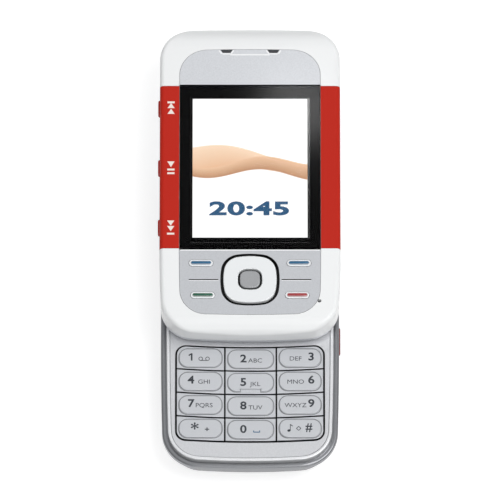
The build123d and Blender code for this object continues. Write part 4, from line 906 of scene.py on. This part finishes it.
class PHONE_OT_music_icons(bpy.types.Operator):
    """Print the music keys' signs on the left strip"""

    bl_idname = "phone.music_icons"
    bl_label = "Music Icons"

    # strokes of each sign: kind, place up the strip, and for a triangle its height, up or down,
    # in millimetres
    SIGNS = {
        "rewind_key": (("bar", 1.8, 0), ("triangle", 0.85, 1.5), ("triangle", -0.85, 1.5)),
        "play_key": (("triangle", 1.05, -1.7), ("bar", -0.5, 0), ("bar", -1.58, 0)),
        "forward_key": (("triangle", 1.3, -1.5), ("triangle", -0.3, -1.5), ("bar", -1.8, 0)),
    }
    ICON_DROP = 1.4 * MM  # from the key's middle, towards the foot
    ICON_INSET = 3.0 * MM  # from the strip's outer side
    BAR_LENGTH = 0.55 * MM  # along the strip

    def execute(self, context):
        # pad-printed ink: pale and even, as dull as the strip
        ink = moulded("cream_ink", colours().icon, 0.5, 0.3, 0.08)
        x = STRIP_LOW.x + self.ICON_INSET
        width = sizes().icon_width
        for key, strokes in self.SIGNS.items():
            y = above(key).y - self.ICON_DROP
            marks = []
            for kind, up, height in strokes:
                place = (x, y + up * MM, STRIP_HIGH.z)
                if kind == "bar":
                    marks.append(flat_bar(place, width, self.BAR_LENGTH))
                else:
                    marks.append(self.triangle(place, width, height * MM))
            settle(join(marks), key.replace("_key", "_icon"), "slider", ink)
        return {"FINISHED"}

    def triangle(self, middle, width, height):
        """A triangle as wide as the bars, pointing up, or down where its height is negative."""
        x, y, z = middle
        radius = width / math.sqrt(3)
        squeeze = abs(height) / (1.5 * radius)
        turn = 0.0 if height > 0 else math.pi
        return thicken(flat_round((x, y - height / 6, z), radius, 3, turn, squeeze))


# ---------------------------------------------------------------- screen
class PHONE_OT_window_print(bpy.types.Operator):
    """Make the black print behind the window, with its clear opening"""

    bl_idname = "phone.window_print"
    bl_label = "Window Print"

    PRINT_RISE = 0.04 * MM  # above the window's underside
    PRINT_INSET = 0.08 * MM  # inside its edges
    REACH = 0.1 * MM  # how far past the opening's sides its corners are looked for
    # steps round the opening: gap to it, width, and how much longer than its side, in millimetres
    LEFT_STEP, RIGHT_STEP, FOOT_STEP = (0.5, 0.1, 1.5), (0.35, 0.55, 0.6), (1.45, 0.16, 1.0)

    def execute(self, context):
        # dense black ink on the back of the acrylic: its gloss is the acrylic's own
        black = moulded("back_printed_black", linear("060607"), 0.9, 2.0, 0.0, specular=0.0)
        half_width, half_length = sizes().picture_width / 2, sizes().picture_length / 2
        middle = (WINDOW_LOW.y + WINDOW_HIGH.y) / 2
        level = WINDOW_LOW.z + self.PRINT_RISE
        outer_width = (WINDOW_HIGH.x - WINDOW_LOW.x) / 2 - self.PRINT_INSET
        outer_length = (WINDOW_HIGH.y - WINDOW_LOW.y) / 2 - self.PRINT_INSET
        border = outer_width - half_width
        sheet = cut_middle(flat_plane((0, middle, level), 2 * outer_width, 2 * outer_length), border)
        # the opening's head and foot edges come in to the picture's length
        spare = outer_length - border - half_length
        for side in (-1, 1):
            pick(sheet, lambda co: abs(co.x) < half_width + self.REACH and co.y * side > 0)
            bpy.ops.transform.translate(value=(0, -side * spare, 0))
            leave_edit()
        settle(thicken(sheet), "window_print", "slider", black)
        self.steps(half_width, half_length, middle, level + sizes().print_height)
        return {"FINISHED"}

    def steps(self, half_width, half_length, middle, level):
        """Moulded steps round the opening: thin glossy lines that catch the light."""
        gloss = moulded("black_gloss_step", linear("060607"), 0.1, 2.0, 0.0)
        lines = []
        for side, (gap, width, longer) in ((-1, self.LEFT_STEP), (1, self.RIGHT_STEP)):
            place = (side * (half_width + gap * MM), middle, level)
            lines.append(flat_bar(place, width * MM, 2 * half_length + longer * MM))
        gap, width, longer = self.FOOT_STEP
        place = (0, middle - half_length - gap * MM, level)
        lines.append(flat_bar(place, 2 * half_width + longer * MM, width * MM))
        settle(join(lines), "window_steps", "slider", gloss)


class PHONE_OT_clock(bpy.types.Operator):
    """Show the time on the screen"""

    bl_idname = "phone.clock"
    bl_label = "Clock Digits"

    PLACE = (-0.1, -11.6)  # across and up off the screen's middle, in millimetres
    WIDTH, SPACING = 1.7, 1.06  # over the font's own
    WEIGHT = 0.2 * MM

    def execute(self, context):
        across, up = self.PLACE
        middle = (PANEL_LOW.y + PANEL_HIGH.y) / 2
        place = (across * MM, middle + up * MM, PANEL_HIGH.z + sizes().print_height / 2)
        digits = lettering(
            sizes().clock_text, sizes().clock_digit, place, self.WIDTH, self.WEIGHT, self.SPACING
        )
        settle(digits, "clock_digits", "slider", lit("lit_clock", colours().clock))
        return {"FINISHED"}


# ---------------------------------------------------------------- stage
VIEW_ELEVATION = math.radians(65)
VIEW_DISTANCE = 3.0
FRAME_WIDTH = 0.1326  # width of the view at the phone
SENSOR = 36.0
AIM = (0.0, 0.01523, 0.0145)
SOFTBOXES = (
    # name, place, width, length, power in watts
    ("overhead_softbox", (0.36, -0.1, 0.76), 0.5, 0.5, 2.9),
    ("head_softbox", (0.1, 0.9, 0.8), 0.5, 0.4, 0.45),
    ("foot_softbox", (0.15, -0.8, 0.5), 0.8, 0.4, 1.6),
)
GLINT_LAMP = ((0.0150, 0.293, 0.516), (0.0143, 0.052, 0.0205), 0.022, 0.02)  # place, aim, width and power
FLOOR_SIZE = 12.0
FLOOR_GAP = 0.02 * MM  # below the phone
FLOOR_TONE = {"To Min": 0.54, "To Max": 0.56}
FLOOR_GRAIN = 40.0  # in millimetres
FLOOR_LIFT = 0.68  # light that brings the floor's own tone up to white in the view
SURROUND = (0.98, 0.99, 1.0, 1.0)
SURROUND_LIGHT = {"To Min": 0.06, "To Max": 0.78}  # at the horizon and overhead


class PHONE_OT_stage(bpy.types.Operator):
    """Build the floor, the lamps and the camera"""

    bl_idname = "phone.stage"
    bl_label = "Stage"

    def execute(self, context):
        self.floor()
        self.lamps(context)
        self.world(context)
        self.camera(context)
        context.scene.view_settings.view_transform = "Standard"
        return {"FINISHED"}

    def floor(self):
        """A broad white table top that shows white to the camera and keeps the phone's shadow."""
        select_none()
        bpy.ops.mesh.primitive_plane_add(size=FLOOR_SIZE, location=(0, 0, CAD_BOX[0][2] - FLOOR_GAP))
        floor = bpy.context.object
        floor.name = "floor"
        material, tree, output, place = start_material("white_table")
        grain = add_node(tree, "ShaderNodeTexNoise", {"Scale": 1 / FLOOR_GRAIN}, {"Vector": place})
        tone = add_node(tree, "ShaderNodeMapRange", FLOOR_TONE, {"Value": grain.outputs["Fac"]})
        surface = add_node(tree, "ShaderNodeBsdfDiffuse", {}, {"Color": tone.outputs["Result"]})
        rays = add_node(tree, "ShaderNodeLightPath")
        seen = rays.outputs["Is Camera Ray"]
        for kind in ("Is Glossy Ray", "Is Transmission Ray"):
            links = {0: seen, 1: rays.outputs[kind]}
            seen = add_node(tree, "ShaderNodeMath", {"operation": "MAXIMUM"}, links).outputs[0]
        lift = add_node(tree, "ShaderNodeMath", {"operation": "MULTIPLY", 1: FLOOR_LIFT}, {0: seen})
        glow = add_node(tree, "ShaderNodeEmission", {"Color": (1, 1, 1, 1)}, {"Strength": lift.outputs[0]})
        both = add_node(tree, "ShaderNodeAddShader", {}, {0: surface.outputs[0], 1: glow.outputs[0]})
        tree.links.new(both.outputs[0], output.inputs["Surface"])
        floor.data.materials.append(material)

    def lamps(self, context):
        """Three broad softboxes, and a small lamp that the screen's window reflects as a soft glint."""
        for name, place, width, length, power in SOFTBOXES:
            lamp = self.lamp(context, name, place, AIM, power)
            lamp.shape = "RECTANGLE"
            lamp.size = width
            lamp.size_y = length
        place, aim, width, power = GLINT_LAMP
        lamp = self.lamp(context, "glint_lamp", place, aim, power)
        lamp.shape = "DISK"
        lamp.size = width

    def lamp(self, context, name, place, aim, power):
        """An area lamp turned to a point."""
        select_none()
        bpy.ops.object.light_add(type="AREA", location=place)
        lamp = context.object
        lamp.name = name
        lamp.data.energy = power
        lamp.rotation_euler = (Vector(aim) - Vector(place)).to_track_quat("-Z", "Y").to_euler()
        return lamp.data

    def world(self, context):
        """A pale surround, brightest overhead."""
        world = bpy.data.worlds.new("pale_surround")
        context.scene.world = world
        world.use_nodes = True
        tree = world.node_tree
        tree.nodes.clear()
        place = add_node(tree, "ShaderNodeTexCoord")
        axes = add_node(tree, "ShaderNodeSeparateXYZ", {}, {"Vector": place.outputs["Generated"]})
        height = add_node(tree, "ShaderNodeMapRange", SURROUND_LIGHT, {"Value": axes.outputs["Z"]})
        links = {"Strength": height.outputs["Result"]}
        light = add_node(tree, "ShaderNodeBackground", {"Color": SURROUND}, links)
        add_node(tree, "ShaderNodeOutputWorld", {}, {"Surface": light.outputs[0]})

    def camera(self, context):
        """A long lens above the foot of the phone."""
        back = Vector((0, -math.cos(VIEW_ELEVATION), math.sin(VIEW_ELEVATION)))
        select_none()
        bpy.ops.object.camera_add(location=Vector(AIM) + back * VIEW_DISTANCE)
        camera = context.object
        camera.name = "camera"
        camera.rotation_euler = (math.pi / 2 - VIEW_ELEVATION, 0, 0)
        camera.data.sensor_width = SENSOR
        camera.data.lens = SENSOR * VIEW_DISTANCE / FRAME_WIDTH
        camera.data.clip_end = 50.0
        context.scene.camera = camera


class PHONE_PT_panel(bpy.types.Panel):
    """Lists the phone's building steps"""

    bl_idname = "PHONE_PT_panel"
    bl_label = "Slide Phone"
    bl_space_type = "VIEW_3D"
    bl_region_type = "UI"
    bl_category = "Slide Phone"

    def draw(self, context):
        for operator in OPERATORS:
            self.layout.operator(operator.bl_idname)
        for group in (context.scene.phone_colours, context.scene.phone_sizes):
            column = self.layout.column()
            for name in group.bl_rna.properties.keys():
                if name not in ("rna_type", "name"):
                    column.prop(group, name)


OPERATORS = (
    PHONE_OT_casing,
    PHONE_OT_lower_half,
    PHONE_OT_legends,
    PHONE_OT_painted_highlights,
    PHONE_OT_key_bars,
    PHONE_OT_music_icons,
    PHONE_OT_window_print,
    PHONE_OT_clock,
    PHONE_OT_stage,
)
CLASSES = (PhoneColours, PhoneSizes, *OPERATORS, PHONE_PT_panel)


def register():
    for item in CLASSES:
        bpy.utils.register_class(item)
    bpy.types.Scene.phone_colours = PointerProperty(type=PhoneColours)
    bpy.types.Scene.phone_sizes = PointerProperty(type=PhoneSizes)


def unregister():
    del bpy.types.Scene.phone_sizes
    del bpy.types.Scene.phone_colours
    for item in reversed(CLASSES):
        bpy.utils.unregister_class(item)


def main():
    register()
    bpy.ops.phone.casing()
    bpy.ops.phone.lower_half()
    bpy.ops.phone.legends()
    bpy.ops.phone.bright_edges()
    bpy.ops.phone.key_bars()
    bpy.ops.phone.music_icons()
    bpy.ops.phone.window_print()
    bpy.ops.phone.clock()
    bpy.ops.phone.stage()
    bpy.context.view_layer.update()


if __name__ == "__main__":
    main()
